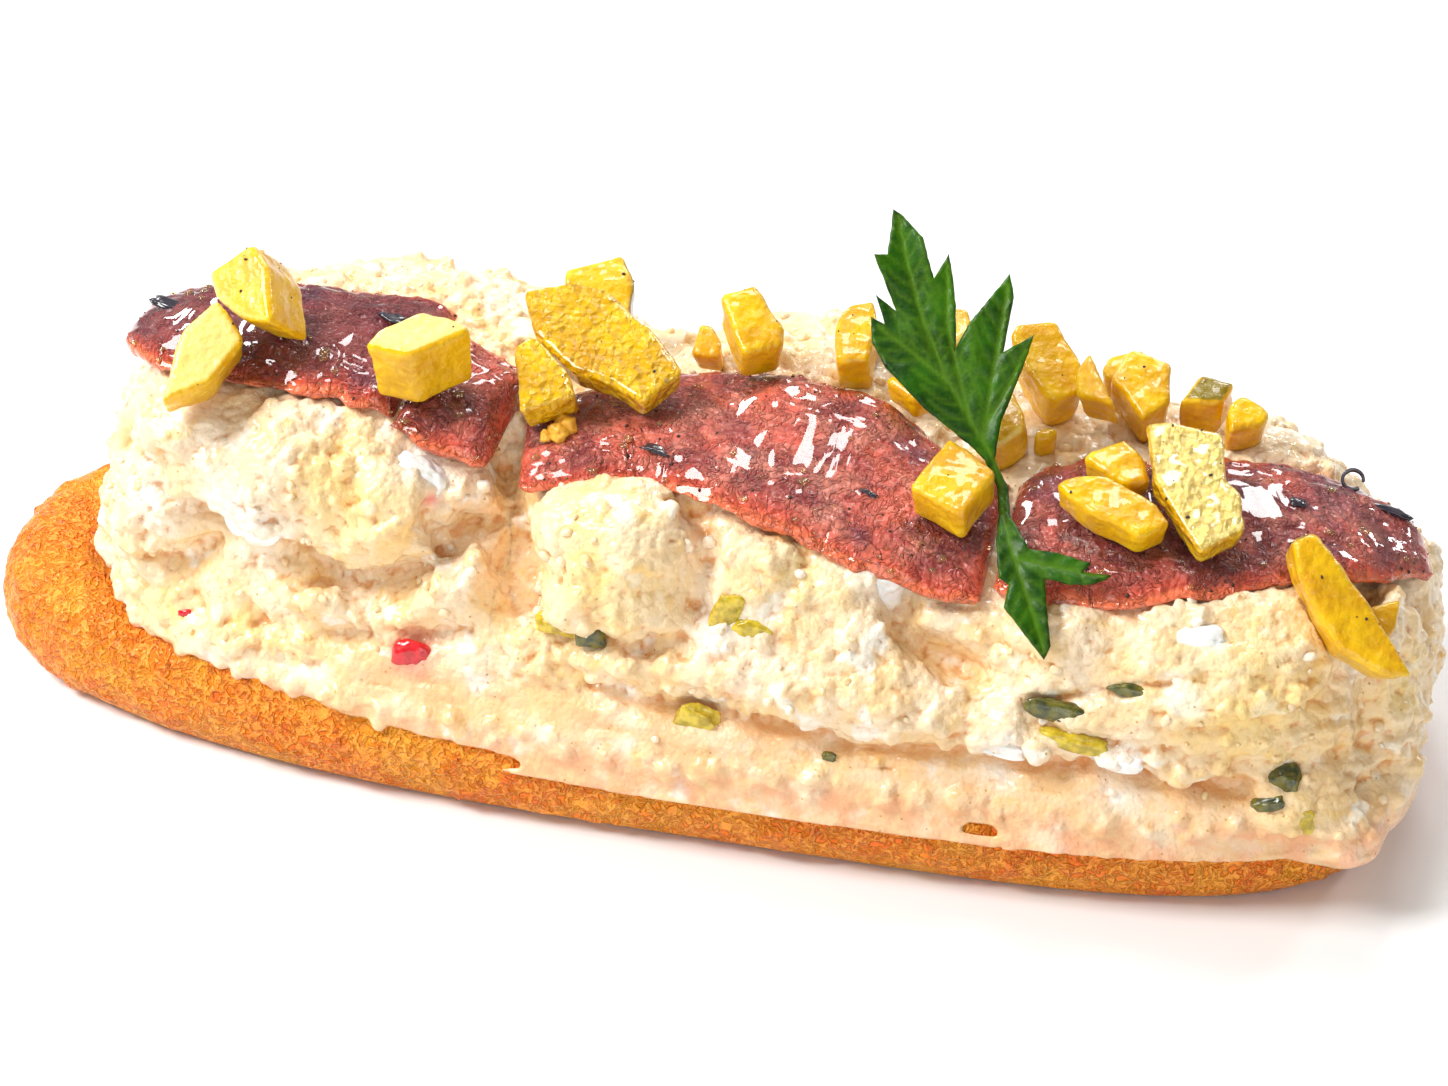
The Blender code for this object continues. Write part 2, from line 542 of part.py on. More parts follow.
def sprig_line(lengths):
    """Side view of the sprig: its place (y, z) and its normal at each length from the stem."""
    line = np.array(SPRIG_DROOP)
    rise = math.radians(SPRIG_RISE_DEGREES)
    top = line[-1] + SPRIG_RISE * np.array([math.cos(rise), math.sin(rise)])
    line = np.vstack([line, top])
    run = np.concatenate([[0.0], np.cumsum(np.linalg.norm(np.diff(line, axis=0), axis=1))])
    run -= run[-2]
    place = along_line(lengths, run, line)
    ahead = along_line(lengths + SPRIG_SLOPE_REACH, run, line)
    behind = along_line(lengths - SPRIG_SLOPE_REACH, run, line)
    along = ahead - behind
    along /= np.linalg.norm(along, axis=1)[:, None]
    return place, np.stack([-along[:, 1], along[:, 0]], axis=1)


def parsley_sprig():
    """The parsley, bent over the front edge and given its thickness."""
    points, faces, rim = flat_sprig()
    place, normal = sprig_line(points[:, 1])
    upper = np.column_stack([points[:, 0], place + normal * SPRIG_THICKNESS / 2.0])
    lower = np.column_stack([points[:, 0], place - normal * SPRIG_THICKNESS / 2.0])
    count = len(points)
    solid_faces = list(faces)
    solid_faces += [tuple(index + count for index in reversed(face)) for face in faces]
    solid_faces += [(second, first, first + count, second + count) for first, second in rim]
    return add_solid("parsley_sprig", np.concatenate([upper, lower]), solid_faces, PARSLEY)


def settle_at_origin():
    """Shift every object so that the whole is centred over the origin."""
    bpy.context.view_layer.update()
    depsgraph = bpy.context.evaluated_depsgraph_get()
    corners = []
    for solid in bpy.context.scene.objects:
        if not solid.hide_render:
            evaluated = solid.evaluated_get(depsgraph)
            corners += [evaluated.matrix_world @ Vector(corner) for corner in evaluated.bound_box]
    corners = np.array(corners)
    middle = (corners.min(axis=0) + corners.max(axis=0)) / 2.0
    for solid in bpy.context.scene.objects:
        solid.location.x -= middle[0]
        solid.location.y -= middle[1]


clear_scene()
bread_ring()
heap = potato_salad()
bpy.context.view_layer.update()
laid = [world_tree(heap)]
soft_ground = SoftGround(laid, FILLET_DROOP)
for fillet_name, sizes in FILLETS.items():
    laid.append(world_tree(fillet(fillet_name, ground=soft_ground, **sizes)))
for number, piece in enumerate(GHERKINS, start=1):
    laid.append(world_tree(gherkin(number, *piece, laid)))
parsley_sprig()
settle_at_origin()
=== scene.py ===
"""Open sandwich: a crisp oval bread ring heaped with potato salad, and on top anchovy
fillets, diced gherkin and one sprig of parsley.

Sizes are in millimetres from the middle of the bread ring's underside, with X along the
ring; a piece's points become metres in the model's frame when its mesh is made.
"""

import itertools
import math

import bmesh
import bpy
import numpy as np
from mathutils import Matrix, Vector, geometry
from mathutils.bvhtree import BVHTree


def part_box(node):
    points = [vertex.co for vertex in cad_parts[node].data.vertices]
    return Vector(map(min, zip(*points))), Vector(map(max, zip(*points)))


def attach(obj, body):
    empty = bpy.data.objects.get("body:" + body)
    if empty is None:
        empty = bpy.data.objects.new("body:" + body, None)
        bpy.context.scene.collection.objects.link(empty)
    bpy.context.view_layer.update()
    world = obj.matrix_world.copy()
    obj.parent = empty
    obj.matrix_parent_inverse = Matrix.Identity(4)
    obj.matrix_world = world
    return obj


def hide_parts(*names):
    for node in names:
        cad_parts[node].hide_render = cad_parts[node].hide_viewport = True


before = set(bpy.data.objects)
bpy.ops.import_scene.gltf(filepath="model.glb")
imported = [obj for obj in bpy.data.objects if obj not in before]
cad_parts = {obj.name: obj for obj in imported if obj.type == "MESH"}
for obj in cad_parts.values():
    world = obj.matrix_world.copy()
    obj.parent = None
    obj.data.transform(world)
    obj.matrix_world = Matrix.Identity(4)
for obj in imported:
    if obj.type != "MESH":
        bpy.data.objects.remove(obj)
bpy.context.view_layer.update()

# ---------------------------------------------------------------------------------------
# Table, light and camera.  The sandwich lies on a plain white table under soft boxes: a
# large one overhead from the left, a low one behind that draws the wet highlights.

MM = 0.001
ring_low, ring_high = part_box("bread_ring")
RING_MIDDLE = np.array([(ring_low.x + ring_high.x) / 2.0, (ring_low.y + ring_high.y) / 2.0, 0.0])

CAMERA_AIM = (5.1, -4.5, 20.0)
CAMERA_DISTANCE = 341.7
CAMERA_TURN = math.radians(13.95)
CAMERA_RISE = math.radians(34.0)
CAMERA_LENS = 89.5
SENSOR_WIDTH = 36.0
LIGHTS_AIM = (0.0, 0.0, 20.0)
STUDIO_COLOUR = (1.0, 0.985, 0.96, 1.0)
STUDIO_STRENGTH = 0.25
TABLE_REACH = 4.0               # metres from the middle to each side
TABLE_DROP = 0.0001             # metres that the table lies below the bread
SOFT_BOXES = (
    # name, place, size, watts
    ("key_box", (-280.0, -110.0, 360.0), 190.0, 2.5),
    ("back_box", (60.0, 380.0, 340.0), 130.0, 0.85),
    ("front_fill", (120.0, -460.0, 170.0), 320.0, 0.70),
    ("glint_left", (-260.0, 300.0, 260.0), 70.0, 0.4),
    ("glint_right", (300.0, 300.0, 230.0), 70.0, 0.4),
    ("glint_top", (-20.0, 150.0, 430.0), 80.0, 0.4),
)


def in_frame(place):
    """A place given in millimetres from the ring's middle, in metres of the model's frame."""
    return Vector(np.array(place) * MM + RING_MIDDLE)


class Signal:
    """One output of a shader node.  Arithmetic on it adds the Math nodes that work it out."""

    def __init__(self, finish, socket):
        self.finish = finish
        self.socket = socket

    def math(self, operation, *parts):
        return self.finish.node("Math", {"operation": operation}, dict(enumerate(parts)))

    def __add__(self, other):
        return self.math("ADD", self, other)

    def __sub__(self, other):
        return self.math("SUBTRACT", self, other)

    def __rsub__(self, other):
        return self.math("SUBTRACT", other, self)

    def __mul__(self, other):
        return self.math("MULTIPLY", self, other)

    def __abs__(self):
        return self.math("ABSOLUTE", self)

    __radd__ = __add__
    __rmul__ = __mul__


class Finish:
    """A material with one Principled shader, and the ways its nodes are added."""

    def __init__(self, name, **constants):
        self.material = bpy.data.materials.new(name)
        self.material.use_nodes = True
        self.tree = self.material.node_tree
        self.shader = self.tree.nodes["Principled BSDF"]
        for socket, value in constants.items():
            self.shader.inputs[socket.replace("_", " ")].default_value = value
        self.place = self.node("TexCoord", output="Object")

    def node(self, kind, settings=None, inputs=None, output=0):
        node = self.tree.nodes.new("ShaderNode" + kind)
        for key, setting in (settings or {}).items():
            setattr(node, key, setting)
        for key, value in (inputs or {}).items():
            self.feed(node.inputs[key], value)
        return Signal(self, node.outputs[output])

    def feed(self, socket, value):
        if isinstance(value, Signal):
            self.tree.links.new(value.socket, socket)
        else:
            socket.default_value = value

    def drive(self, **inputs):
        for socket, value in inputs.items():
            self.feed(self.shader.inputs[socket.replace("_", " ")], value)

    def noise(self, size, detail=2.0, place=None, distortion=0.0):
        """Noise whose blotches are about size millimetres, from 0 to 1."""
        inputs = {"Vector": place or self.place, "Scale": 1.0 / (size * MM), "Detail": detail,
                  "Distortion": distortion}
        return self.node("TexNoise", None, inputs)

    def cells(self, size, place=None, distance="EUCLIDEAN"):
        """Distance to the nearest of scattered points, size millimetres apart."""
        inputs = {"Vector": place or self.place, "Scale": 1.0 / (size * MM), "Randomness": 1.0}
        return self.node("TexVoronoi", {"distance": distance}, inputs, "Distance")

    def wandering(self, scale, reach):
        """The place moved along each axis by up to the reach in metres, by noise of its own."""
        noise = self.node("TexNoise", None, {"Vector": self.place, "Scale": scale}, "Color")
        inputs = {0: noise, 1: (reach, reach, reach), 2: self.place}
        return self.node("VectorMath", {"operation": "MULTIPLY_ADD"}, inputs)

    def attribute(self, name):
        return self.node("Attribute", {"attribute_name": name}, output="Fac")

    def step(self, value, low, high):
        """0 below low, 1 above high and a smooth rise between them."""
        inputs = {"Value": value, "From Min": low, "From Max": high}
        return self.node("MapRange", {"interpolation_type": "SMOOTHSTEP"}, inputs)

    def mix(self, share, first, second):
        """From the first colour to the second by share."""
        return self.node("Mix", {"data_type": "RGBA"}, {0: share, 6: first, 7: second}, output=2)

    def spots(self, size, detail, low, high):
        """Soft-edged spots: noise of that size and detail with its rise from low to high."""
        return self.step(self.noise(size, detail), low, high)

    def layered(self, colour, *layers):
        """The colour with each layer's screen colour mixed over it in turn by its share."""
        for share, red_green_blue in layers:
            colour = self.mix(share, colour, rgb(*red_green_blue))
        return colour

    def bump(self, height, depth):
        """The shading of relief of that depth in millimetres; height runs from 0 to 1."""
        return self.node("Bump", None, {"Height": height, "Distance": depth * MM, "Strength": 1.0})


def rgb(red, green, blue):
    """A colour from 0-255 screen values, as the linear colour that a shader takes."""
    screen = np.array([red, green, blue]) / 255.0
    return (*np.where(screen > 0.04045, ((screen + 0.055) / 1.055) ** 2.4, screen / 12.92), 1.0)


table_finish = Finish("white_table", Roughness=0.6, Specular_IOR_Level=0.2)
table_finish.drive(Base_Color=table_finish.mix(table_finish.noise(60.0), (0.84, 0.845, 0.85, 1.0),
                                               (0.88, 0.88, 0.88, 1.0)))
table_mesh = bpy.data.meshes.new("table_top")
table_mesh.from_pydata([(x * TABLE_REACH, y * TABLE_REACH, -TABLE_DROP)
                        for x, y in ((-1, -1), (1, -1), (1, 1), (-1, 1))], [], [(0, 1, 2, 3)])
table_mesh.materials.append(table_finish.material)
table_top = bpy.data.objects.new("table_top", table_mesh)
bpy.context.scene.collection.objects.link(table_top)

world = bpy.data.worlds.new("studio")
world.use_nodes = True
world.node_tree.nodes["Background"].inputs["Color"].default_value = STUDIO_COLOUR
world.node_tree.nodes["Background"].inputs["Strength"].default_value = STUDIO_STRENGTH
bpy.context.scene.world = world
for box_name, place, size, watts in SOFT_BOXES:
    lamp = bpy.data.lights.new(box_name, "AREA")
    lamp.size = size * MM
    lamp.energy = watts
    soft_box = bpy.data.objects.new(box_name, lamp)
    soft_box.location = in_frame(place)
    aim = in_frame(LIGHTS_AIM) - soft_box.location
    soft_box.rotation_euler = aim.to_track_quat("-Z", "Y").to_euler()
    bpy.context.scene.collection.objects.link(soft_box)

toward_camera = Vector((math.sin(CAMERA_TURN) * math.cos(CAMERA_RISE),
                        -math.cos(CAMERA_TURN) * math.cos(CAMERA_RISE), math.sin(CAMERA_RISE)))
camera_data = bpy.data.cameras.new("camera")
camera_data.lens = CAMERA_LENS
camera_data.sensor_width = SENSOR_WIDTH
camera_data.clip_start = 0.01
camera = bpy.data.objects.new("camera", camera_data)
camera.location = in_frame(CAMERA_AIM) + toward_camera * CAMERA_DISTANCE * MM
camera.rotation_euler = (-toward_camera).to_track_quat("-Z", "Y").to_euler()
bpy.context.scene.collection.objects.link(camera)
bpy.context.scene.camera = camera
bpy.context.scene.view_settings.view_transform = "Standard"

# ---------------------------------------------------------------------------------------
# Bread ring.  One rope of dough joined into an oval and baked crisp: a golden crust with
# a fine wrinkled net over it, small burst pores and a flat underside.

RING_LENGTH = 140.0
RING_WIDTH = 52.0
ROPE_WIDTH = 11.0
ROPE_HEIGHT = 9.6
ROPE_FLATTENING = 1.1
RING_LEFT_POWER = 2.5
RING_RIGHT_POWER = 4.2
ROPE_STATIONS = 880
ROPE_ROUND = 110
CRUST_UNDER_SALAD = 0.7         # how much lower the crust lies where the salad covers it


def cell_number(cells, seed):
    """Repeatable numbers from 0 to 1 for whole-number cells: the three counts multiplied by
    large odd numbers, joined bit by bit and mixed twice more."""
    count = cells.astype(np.int64).astype(np.uint32)
    mixed = count[..., 0] * np.uint32(73856093)
    mixed ^= count[..., 1] * np.uint32(19349663)
    mixed ^= count[..., 2] * np.uint32(83492791)
    mixed ^= np.uint32(seed * 2654435761 % 4294967296)
    mixed = (mixed ^ (mixed >> np.uint32(16))) * np.uint32(2146121005)
    mixed = (mixed ^ (mixed >> np.uint32(15))) * np.uint32(2221713035)
    return (mixed ^ (mixed >> np.uint32(16))) / 4294967296.0


def soft_noise(points, size, seed=0):
    """Smooth noise from -1 to 1: a number at each corner of cubes of that size, blended
    along each side by 3t^2 - 2t^3."""
    place = points / np.asarray(size, dtype=float)
    cell = np.floor(place).astype(np.int64)
    part = place - cell
    blend = part * part * (3.0 - 2.0 * part)
    total = 0.0
    for corner in itertools.product((0, 1), repeat=3):
        corner = np.array(corner)
        share = np.where(corner, blend, 1.0 - blend).prod(axis=-1)
        total = total + share * cell_number(cell + corner, seed)
    return total * 2.0 - 1.0


def pebbles(points, size, seed=0):
    """Distances to the nearest and second nearest of points strewn one to a cube of that
    size, as shares of the size."""
    place = points / np.asarray(size, dtype=float)
    cell = np.floor(place).astype(np.int64)
    nearest = np.full(place.shape[:-1], 9.0)
    second = nearest.copy()
    for shift in itertools.product((-1, 0, 1), repeat=3):
        corner = cell + np.array(shift)
        spot = np.stack([cell_number(corner, seed + axis) for axis in (1, 2, 3)], axis=-1)
        away = np.linalg.norm(place - corner - spot, axis=-1)
        second = np.minimum(second, np.maximum(nearest, away))
        nearest = np.minimum(nearest, away)
    return nearest, second


def smooth_rise(value, low, high):
    """0 below low, 1 above high, 3t^2 - 2t^3 between."""
    share = np.clip((value - low) / (high - low), 0.0, 1.0)
    return share * share * (3.0 - 2.0 * share)


def signed_power(value, power):
    """|value| to the power, with the value's sign."""
    return np.sign(value) * np.abs(value) ** power


def grid_quads(rows, columns, closed_rows=False, closed_columns=False):
    """Quads joining the neighbours of a grid of points that is numbered row by row."""
    row = np.arange(rows if closed_rows else rows - 1)[:, None]
    column = np.arange(columns if closed_columns else columns - 1)[None, :]
    next_row = (row + 1) % rows
    next_column = (column + 1) % columns
    corners = (row * columns + column, row * columns + next_column,
               next_row * columns + next_column, next_row * columns + column)
    corners = [np.broadcast_to(corner, (row.size, column.size)) for corner in corners]
    return np.stack(corners, axis=-1).reshape(-1, 4)


def grid_normals(grid):
    """Unit normals of a grid closed both ways: the cross product of its two directions."""
    along = np.roll(grid, -1, axis=0) - np.roll(grid, 1, axis=0)
    round_ = np.roll(grid, -1, axis=1) - np.roll(grid, 1, axis=1)
    normal = np.cross(round_, along)
    return normal / np.maximum(np.linalg.norm(normal, axis=-1, keepdims=True), 1e-9)


def piece(name, points, faces, finish, node_slot, **attributes):
    """A finished piece: millimetre points put in the model's frame, faces, numbers stored
    on the points and its material; the record's slot is not used.  It rides on the one body."""
    mesh = bpy.data.meshes.new(name)
    mesh.from_pydata((points * MM + RING_MIDDLE).tolist(), [], faces.tolist())
    for key, values in attributes.items():
        numbers = mesh.attributes.new(key, "FLOAT", "POINT").data
        numbers.foreach_set("value", np.asarray(values, dtype=np.float32))
    mesh.shade_smooth()
    mesh.materials.append(finish.material)
    made = bpy.data.objects.new(name, mesh)
    bpy.context.scene.collection.objects.link(made)
    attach(made, "root")
    return made


def ring_oval(count):
    """Evenly spaced points of the rope's middle line: a superellipse whose left and right
    halves have powers of their own, run along its length."""
    turn = np.linspace(0.0, 2.0 * np.pi, 8001)
    power = np.where(np.cos(turn) > 0.0, RING_RIGHT_POWER, RING_LEFT_POWER)
    x = (RING_LENGTH - ROPE_WIDTH) / 2.0 * signed_power(np.cos(turn), 2.0 / power)
    y = (RING_WIDTH - ROPE_WIDTH) / 2.0 * signed_power(np.sin(turn), 2.0 / power)
    run = np.concatenate([[0.0], np.cumsum(np.hypot(np.diff(x), np.diff(y)))])
    places = np.arange(count) / count * run[-1]
    return np.stack([np.interp(places, run, x), np.interp(places, run, y)], axis=1)


def rope_grid():
    """The rope: a slightly squared oval section, cut flat below, carried round the oval."""
    line = ring_oval(ROPE_STATIONS)
    along = np.roll(line, -1, axis=0) - np.roll(line, 1, axis=0)
    along /= np.linalg.norm(along, axis=1, keepdims=True)
    outward = np.stack([along[:, 1], -along[:, 0]], axis=1)
    angle = np.linspace(0.0, 2.0 * np.pi, ROPE_ROUND, endpoint=False) - np.pi / 2.0
    full = ROPE_HEIGHT + ROPE_FLATTENING
    across = ROPE_WIDTH / 2.0 * signed_power(np.cos(angle), 0.9)
    height = full / 2.0 - ROPE_FLATTENING + full / 2.0 * signed_power(np.sin(angle), 0.9)
    flat = line[:, None, :] + outward[:, None, :] * across[None, :, None]
    rise = np.broadcast_to(np.maximum(height, 0.0)[None, :, None], flat.shape[:2] + (1,))
    return np.concatenate([flat, rise], axis=2)


grid = rope_grid()
normals = grid_normals(grid)
bend = np.stack([soft_noise(grid, 1.6, seed) for seed in (11, 12, 13)], axis=-1)
folds = 1.0 - np.abs(soft_noise(grid + 0.6 * bend, 1.15, 14)) * 2.2
broad_folds = 1.0 - np.abs(soft_noise(grid + 0.8 * bend, 2.6, 15)) * 2.0
pore_distance = pebbles(grid, 1.6, 16)[0]
pore_place = smooth_rise(soft_noise(grid, 5.0, 17) + 0.06 * (grid[..., 2] - 6.0), -0.25, 0.35)
pores = np.exp(-(pore_distance / 0.24) ** 2) * pore_place
relief = 0.30 * soft_noise(grid, 8.0, 18) + 0.16 * soft_noise(grid, 3.2, 19)
relief = relief + 0.17 * folds + 0.12 * broad_folds - 0.42 * pores - 0.16
under_salad = smooth_rise(grid[..., 2], 7.5, 9.0) * smooth_rise(grid[..., 0], -50.0, -42.0)
relief = relief - CRUST_UNDER_SALAD * under_salad
above_table = smooth_rise(grid[..., 2], 0.2, 1.6)
grid = grid + normals * (relief * above_table)[..., None]

bread = Finish("toasted_bread", Specular_IOR_Level=0.42, Subsurface_Weight=0.25,
               Subsurface_Scale=0.0008, Subsurface_Radius=(1.0, 0.45, 0.15))
worms = bread.noise(0.85, 1.5, place=bread.wandering(700.0, 0.0022))
ridge = bread.step(1.0 - 2.0 * abs(worms - 0.5), 0.62, 0.98)
crust = bread.layered(
    bread.mix(bread.spots(7.0, 3.0, 0.35, 0.68), rgb(255, 118, 2), rgb(255, 152, 16)),
    # painted highlight: paler gold along the wrinkle ridges
    (ridge * 0.45, (255, 188, 72)),
    # painted shade: darker orange in the grooves between the folds
    (bread.step(bread.attribute("fold"), 0.66, 0.15) * 0.5, (226, 82, 0)),
    # painted shade: darker in the burst pores
    (bread.attribute("pore") * 0.85, (192, 66, 2)),
    (bread.spots(12.0, 2.0, 0.50, 0.74) * 0.25, (224, 92, 0)))
bread.drive(Base_Color=crust, Roughness=0.22 + 0.22 * worms)
fine = bread.noise(0.30, 3.0, distortion=0.6)
bread.drive(Normal=bread.bump(ridge * 1.3 + fine * 0.3, 0.45))

# The fold and pore numbers carry the painted shade of the crust's grooves and pores.
ring = piece("bread_ring_crust", grid.reshape(-1, 3),
             grid_quads(ROPE_STATIONS, ROPE_ROUND, True, True)[:, ::-1], bread, "bread",
             fold=((folds * 0.6 + broad_folds * 0.4) * 0.5 + 0.5).ravel(), pore=pores.ravel())
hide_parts("bread_ring")

# ---------------------------------------------------------------------------------------
# Potato salad.  Boiled potato crushed with mayonnaise and egg, pressed by hand over the
# ring: soft lumps that overhang one another, crumbs along torn edges, and a band swept
# smooth with a knife just above the bread.

MASH_COARSE = 0.45              # size of the mesh that the crumbs are strewn on
MASH_GRAIN = 0.29               # size of the finished mesh
MASH_SPLIT_X = -13.0            # the mash is kept as four pieces that meet here
MASH_SPLIT_Y = 5.0
HEAP_SHIFT = (0.0, -0.40, 0.35)  # a second heap this far away gives the thin hem its body
CREASE_PRESS = 1.35             # how much deeper than listed the creases are pressed
UNDERSIDE_PUSH = 0.45           # how far the hem's underside is pushed down on the bread
CRUMBS = 7400
CRUMB_SINK = 0.3                # share of a crumb's size that is sunk in the mash
HANGING_BITS = 110
COVER_GAP = 0.15                # room left under the fillets and the dice

# Lumps laid on the heap: centre, half sizes, and how far the right end dips in degrees
LUMPS = (
    ((-32.5, -14.8, 29.4), (12.5, 7.0, 6.4), 14.0),
    ((-43.0, -13.6, 31.5), (6.5, 5.2, 4.8), -10.0),
    ((-24.0, -15.6, 27.6), (7.0, 5.8, 5.2), 22.0),
    ((-36.5, -17.0, 26.4), (6.0, 4.6, 4.8), 18.0),
    ((-47.2, -12.6, 21.5), (6.6, 5.0, 6.8), 0.0),
    ((-50.2, -7.0, 25.0), (5.0, 6.0, 7.6), 0.0),
    ((-40.0, -15.4, 16.4), (6.2, 4.6, 4.6), 6.0),
    ((-46.0, -10.8, 13.0), (6.0, 4.2, 4.2), 0.0),
    ((-27.5, -18.4, 18.4), (8.4, 4.2, 3.0), 4.0),
    ((-17.6, -18.0, 21.8), (5.4, 4.4, 5.8), -12.0),
    ((-30.0, -18.6, 12.6), (7.0, 4.0, 3.2), 4.0),
    ((11.5, -17.0, 25.2), (5.6, 4.8, 5.4), 10.0),
    ((17.5, -16.2, 25.4), (5.0, 5.0, 4.8), 0.0),
    ((8.0, -19.6, 20.6), (5.8, 3.8, 3.6), 0.0),
    ((1.5, -21.4, 18.6), (6.4, 3.2, 2.6), 4.0),
    ((9.0, -21.9, 18.7), (6.2, 3.3, 2.9), 2.0),
    ((16.5, -21.8, 18.6), (6.0, 3.7, 3.5), 4.0),
    ((22.4, -21.4, 17.6), (5.4, 3.9, 3.7), 12.0),
    ((28.6, -20.6, 17.4), (4.8, 3.2, 2.8), 4.0),
    ((36.0, -20.4, 16.9), (6.4, 3.1, 2.2), 2.0),
    ((44.0, -20.2, 16.8), (6.6, 3.1, 2.2), 2.0),
    ((40.5, -16.6, 23.4), (7.6, 5.8, 4.4), -8.0),
    ((56.0, -14.2, 24.0), (9.4, 7.0, 5.2), 4.0),
    ((50.0, -17.2, 20.4), (11.5, 5.6, 4.4), 4.0),
    ((66.2, -8.0, 19.6), (4.6, 5.6, 7.6), 0.0),
    ((67.4, 3.0, 18.0), (4.4, 8.0, 7.8), 0.0),
    ((62.4, -17.2, 10.6), (5.8, 4.6, 4.2), 0.0),
    ((67.4, -11.6, 8.4), (4.4, 5.4, 4.4), 0.0),
    ((64.4, -17.0, 7.4), (5.4, 5.0, 3.6), 0.0),
    ((-52.6, 5.0, 20.0), (4.6, 7.0, 8.0), 0.0),
    ((-44.0, 14.4, 25.0), (8.4, 6.2, 6.4), 6.0),
    ((-30.0, 17.2, 17.6), (9.0, 5.4, 6.2), -4.0),
    ((-14.0, 16.6, 25.4), (8.6, 5.8, 5.6), 4.0),
    ((3.0, 18.4, 18.0), (8.6, 4.8, 5.0), 0.0),
    ((19.0, 16.8, 25.0), (9.0, 6.0, 5.6), -6.0),
    ((35.0, 18.0, 18.0), (8.4, 5.2, 6.0), 4.0),
    ((50.0, 15.6, 22.4), (8.4, 6.2, 5.4), 0.0),
    ((61.0, 13.4, 13.0), (6.2, 5.4, 5.4), 0.0),
    ((-30.0, 8.0, 34.4), (8.0, 6.0, 3.2), 0.0),
    ((-18.0, 6.5, 34.2), (6.0, 5.0, 2.8), 0.0),
    ((12.0, 10.5, 32.8), (9.0, 6.0, 3.0), 0.0),
    ((54.0, 8.0, 28.6), (7.0, 5.0, 2.8), 8.0),
)
# Creases and hollows: depth, half width, and the line each follows
CREASES = (
    (3.4, 1.9, ((-42.0, -19.0, 24.0), (-36.5, -20.6, 22.8), (-31.0, -21.4, 21.6), (-26.0, -21.6, 20.6),
                (-21.5, -21.4, 22.2), (-17.6, -19.8, 25.4), (-15.4, -17.6, 27.8))),
    (3.7, 1.9, ((-13.4, -10.9, 32.4), (-12.6, -15.8, 29.2), (-11.8, -18.4, 25.3), (-10.6, -21.0, 21.8))),
    (2.2, 1.3, ((-9.8, -20.4, 21.4), (-5.4, -22.6, 19.6), (1.0, -23.4, 20.0), (5.6, -22.6, 21.4))),
    (2.0, 1.3, ((5.4, -14.9, 31.6), (7.2, -19.4, 28.2), (6.6, -22.2, 24.2))),
    (2.6, 1.5, ((22.6, -14.2, 28.2), (24.2, -17.2, 26.0), (25.8, -19.4, 23.6), (28.6, -20.2, 22.0),
                (31.6, -20.0, 20.8))),
    (1.8, 1.2, ((-3.0, -24.0, 15.4), (5.0, -24.8, 15.0), (12.0, -25.0, 14.6), (17.0, -25.2, 14.2),
                (22.5, -25.4, 12.9), (28.0, -24.8, 13.8), (36.0, -24.0, 13.9), (44.0, -23.8, 13.9),
                (50.0, -23.4, 13.6), (57.0, -22.4, 12.9))),
    (1.5, 1.0, ((37.2, -22.4, 19.0), (40.3, -22.3, 20.4), (43.7, -21.8, 21.7), (48.9, -21.4, 22.9))),
    (1.6, 1.1, ((38.7, -22.9, 17.6), (46.0, -22.9, 16.6), (53.1, -22.3, 15.4), (60.6, -20.5, 14.6),
                (65.0, -17.2, 15.4))),
    (2.0, 1.4, ((64.6, -6.0, 26.4), (66.0, -10.8, 23.0), (66.6, -13.6, 19.0), (67.4, -14.6, 14.6))),
    (1.8, 1.3, ((-50.6, -13.6, 18.0), (-45.4, -17.2, 18.4), (-41.6, -18.6, 20.4))),
    (1.6, 1.2, ((-50.4, -13.4, 28.4), (-47.0, -16.0, 27.0), (-43.0, -18.4, 25.2))),
    (1.4, 1.1, ((-36.0, -19.6, 14.4), (-29.0, -21.6, 14.8), (-22.0, -22.2, 16.4), (-15.0, -22.0, 18.2))),
    (1.6, 1.2, ((-22.0, -16.0, 30.4), (-19.4, -18.4, 28.6), (-18.4, -19.8, 26.0))),
)
# The edge of the overhanging shelf of mash, where torn bits hang down
SHELF_EDGE = ((-5.9, -22.9, 17.3), (2.0, -23.9, 17.1), (11.5, -24.1, 16.7), (21.8, -24.3, 15.2),
              (30.7, -23.0, 15.2), (43.5, -23.2, 15.0), (57.7, -21.9, 13.8))
# The one piece of potato left whole: centre, half sizes, dip
POTATO_PIECE = ((-1.6, -17.6, 26.4), (8.0, 5.4, 6.4), -8.0)
# Patches of other colour in the mash: where, how far they reach
MASH_PATCHES = {
    "yolk": (((-27.0, -20.0, 28.5), 5.0), ((56.8, -20.2, 22.0), 6.0), ((-38.6, -19.0, 15.3), 2.4),
             ((62.3, -20.5, 10.4), 2.0), ((-2.0, -21.0, 27.0), 5.0), ((16.5, -18.2, 27.4), 3.4),
             ((69.0, -10.0, 19.0), 4.0), ((-53.0, -9.0, 26.0), 4.0)),
    "white": (((-37.0, -19.0, 26.4), 4.6), ((22.5, -16.3, 27.1), 3.0), ((-20.5, -15.7, 31.3), 3.0),
              ((35.3, -23.0, 15.1), 2.6), ((46.1, -23.0, 14.9), 2.8), ((9.0, -20.6, 22.0), 3.4),
              ((-47.0, -16.0, 25.0), 3.4), ((67.0, -14.0, 24.0), 2.6)),
    "rose": (((-20.5, -22.5, 15.0), 2.3), ((-19.5, -17.6, 29.4), 0.8), ((-43.5, -18.0, 11.2), 1.2),
             ((11.0, -24.0, 18.4), 0.9)),
    "oily": (((38.0, -15.8, 26.6), 3.2), ((44.2, -15.8, 27.7), 3.0), ((21.9, -13.4, 28.3), 3.2),
             ((-12.4, -16.0, 28.0), 3.0), ((55.0, -12.0, 28.0), 2.6), ((-22.0, -13.0, 33.0), 2.4),
             ((6.6, -16.0, 29.4), 2.2)),
}


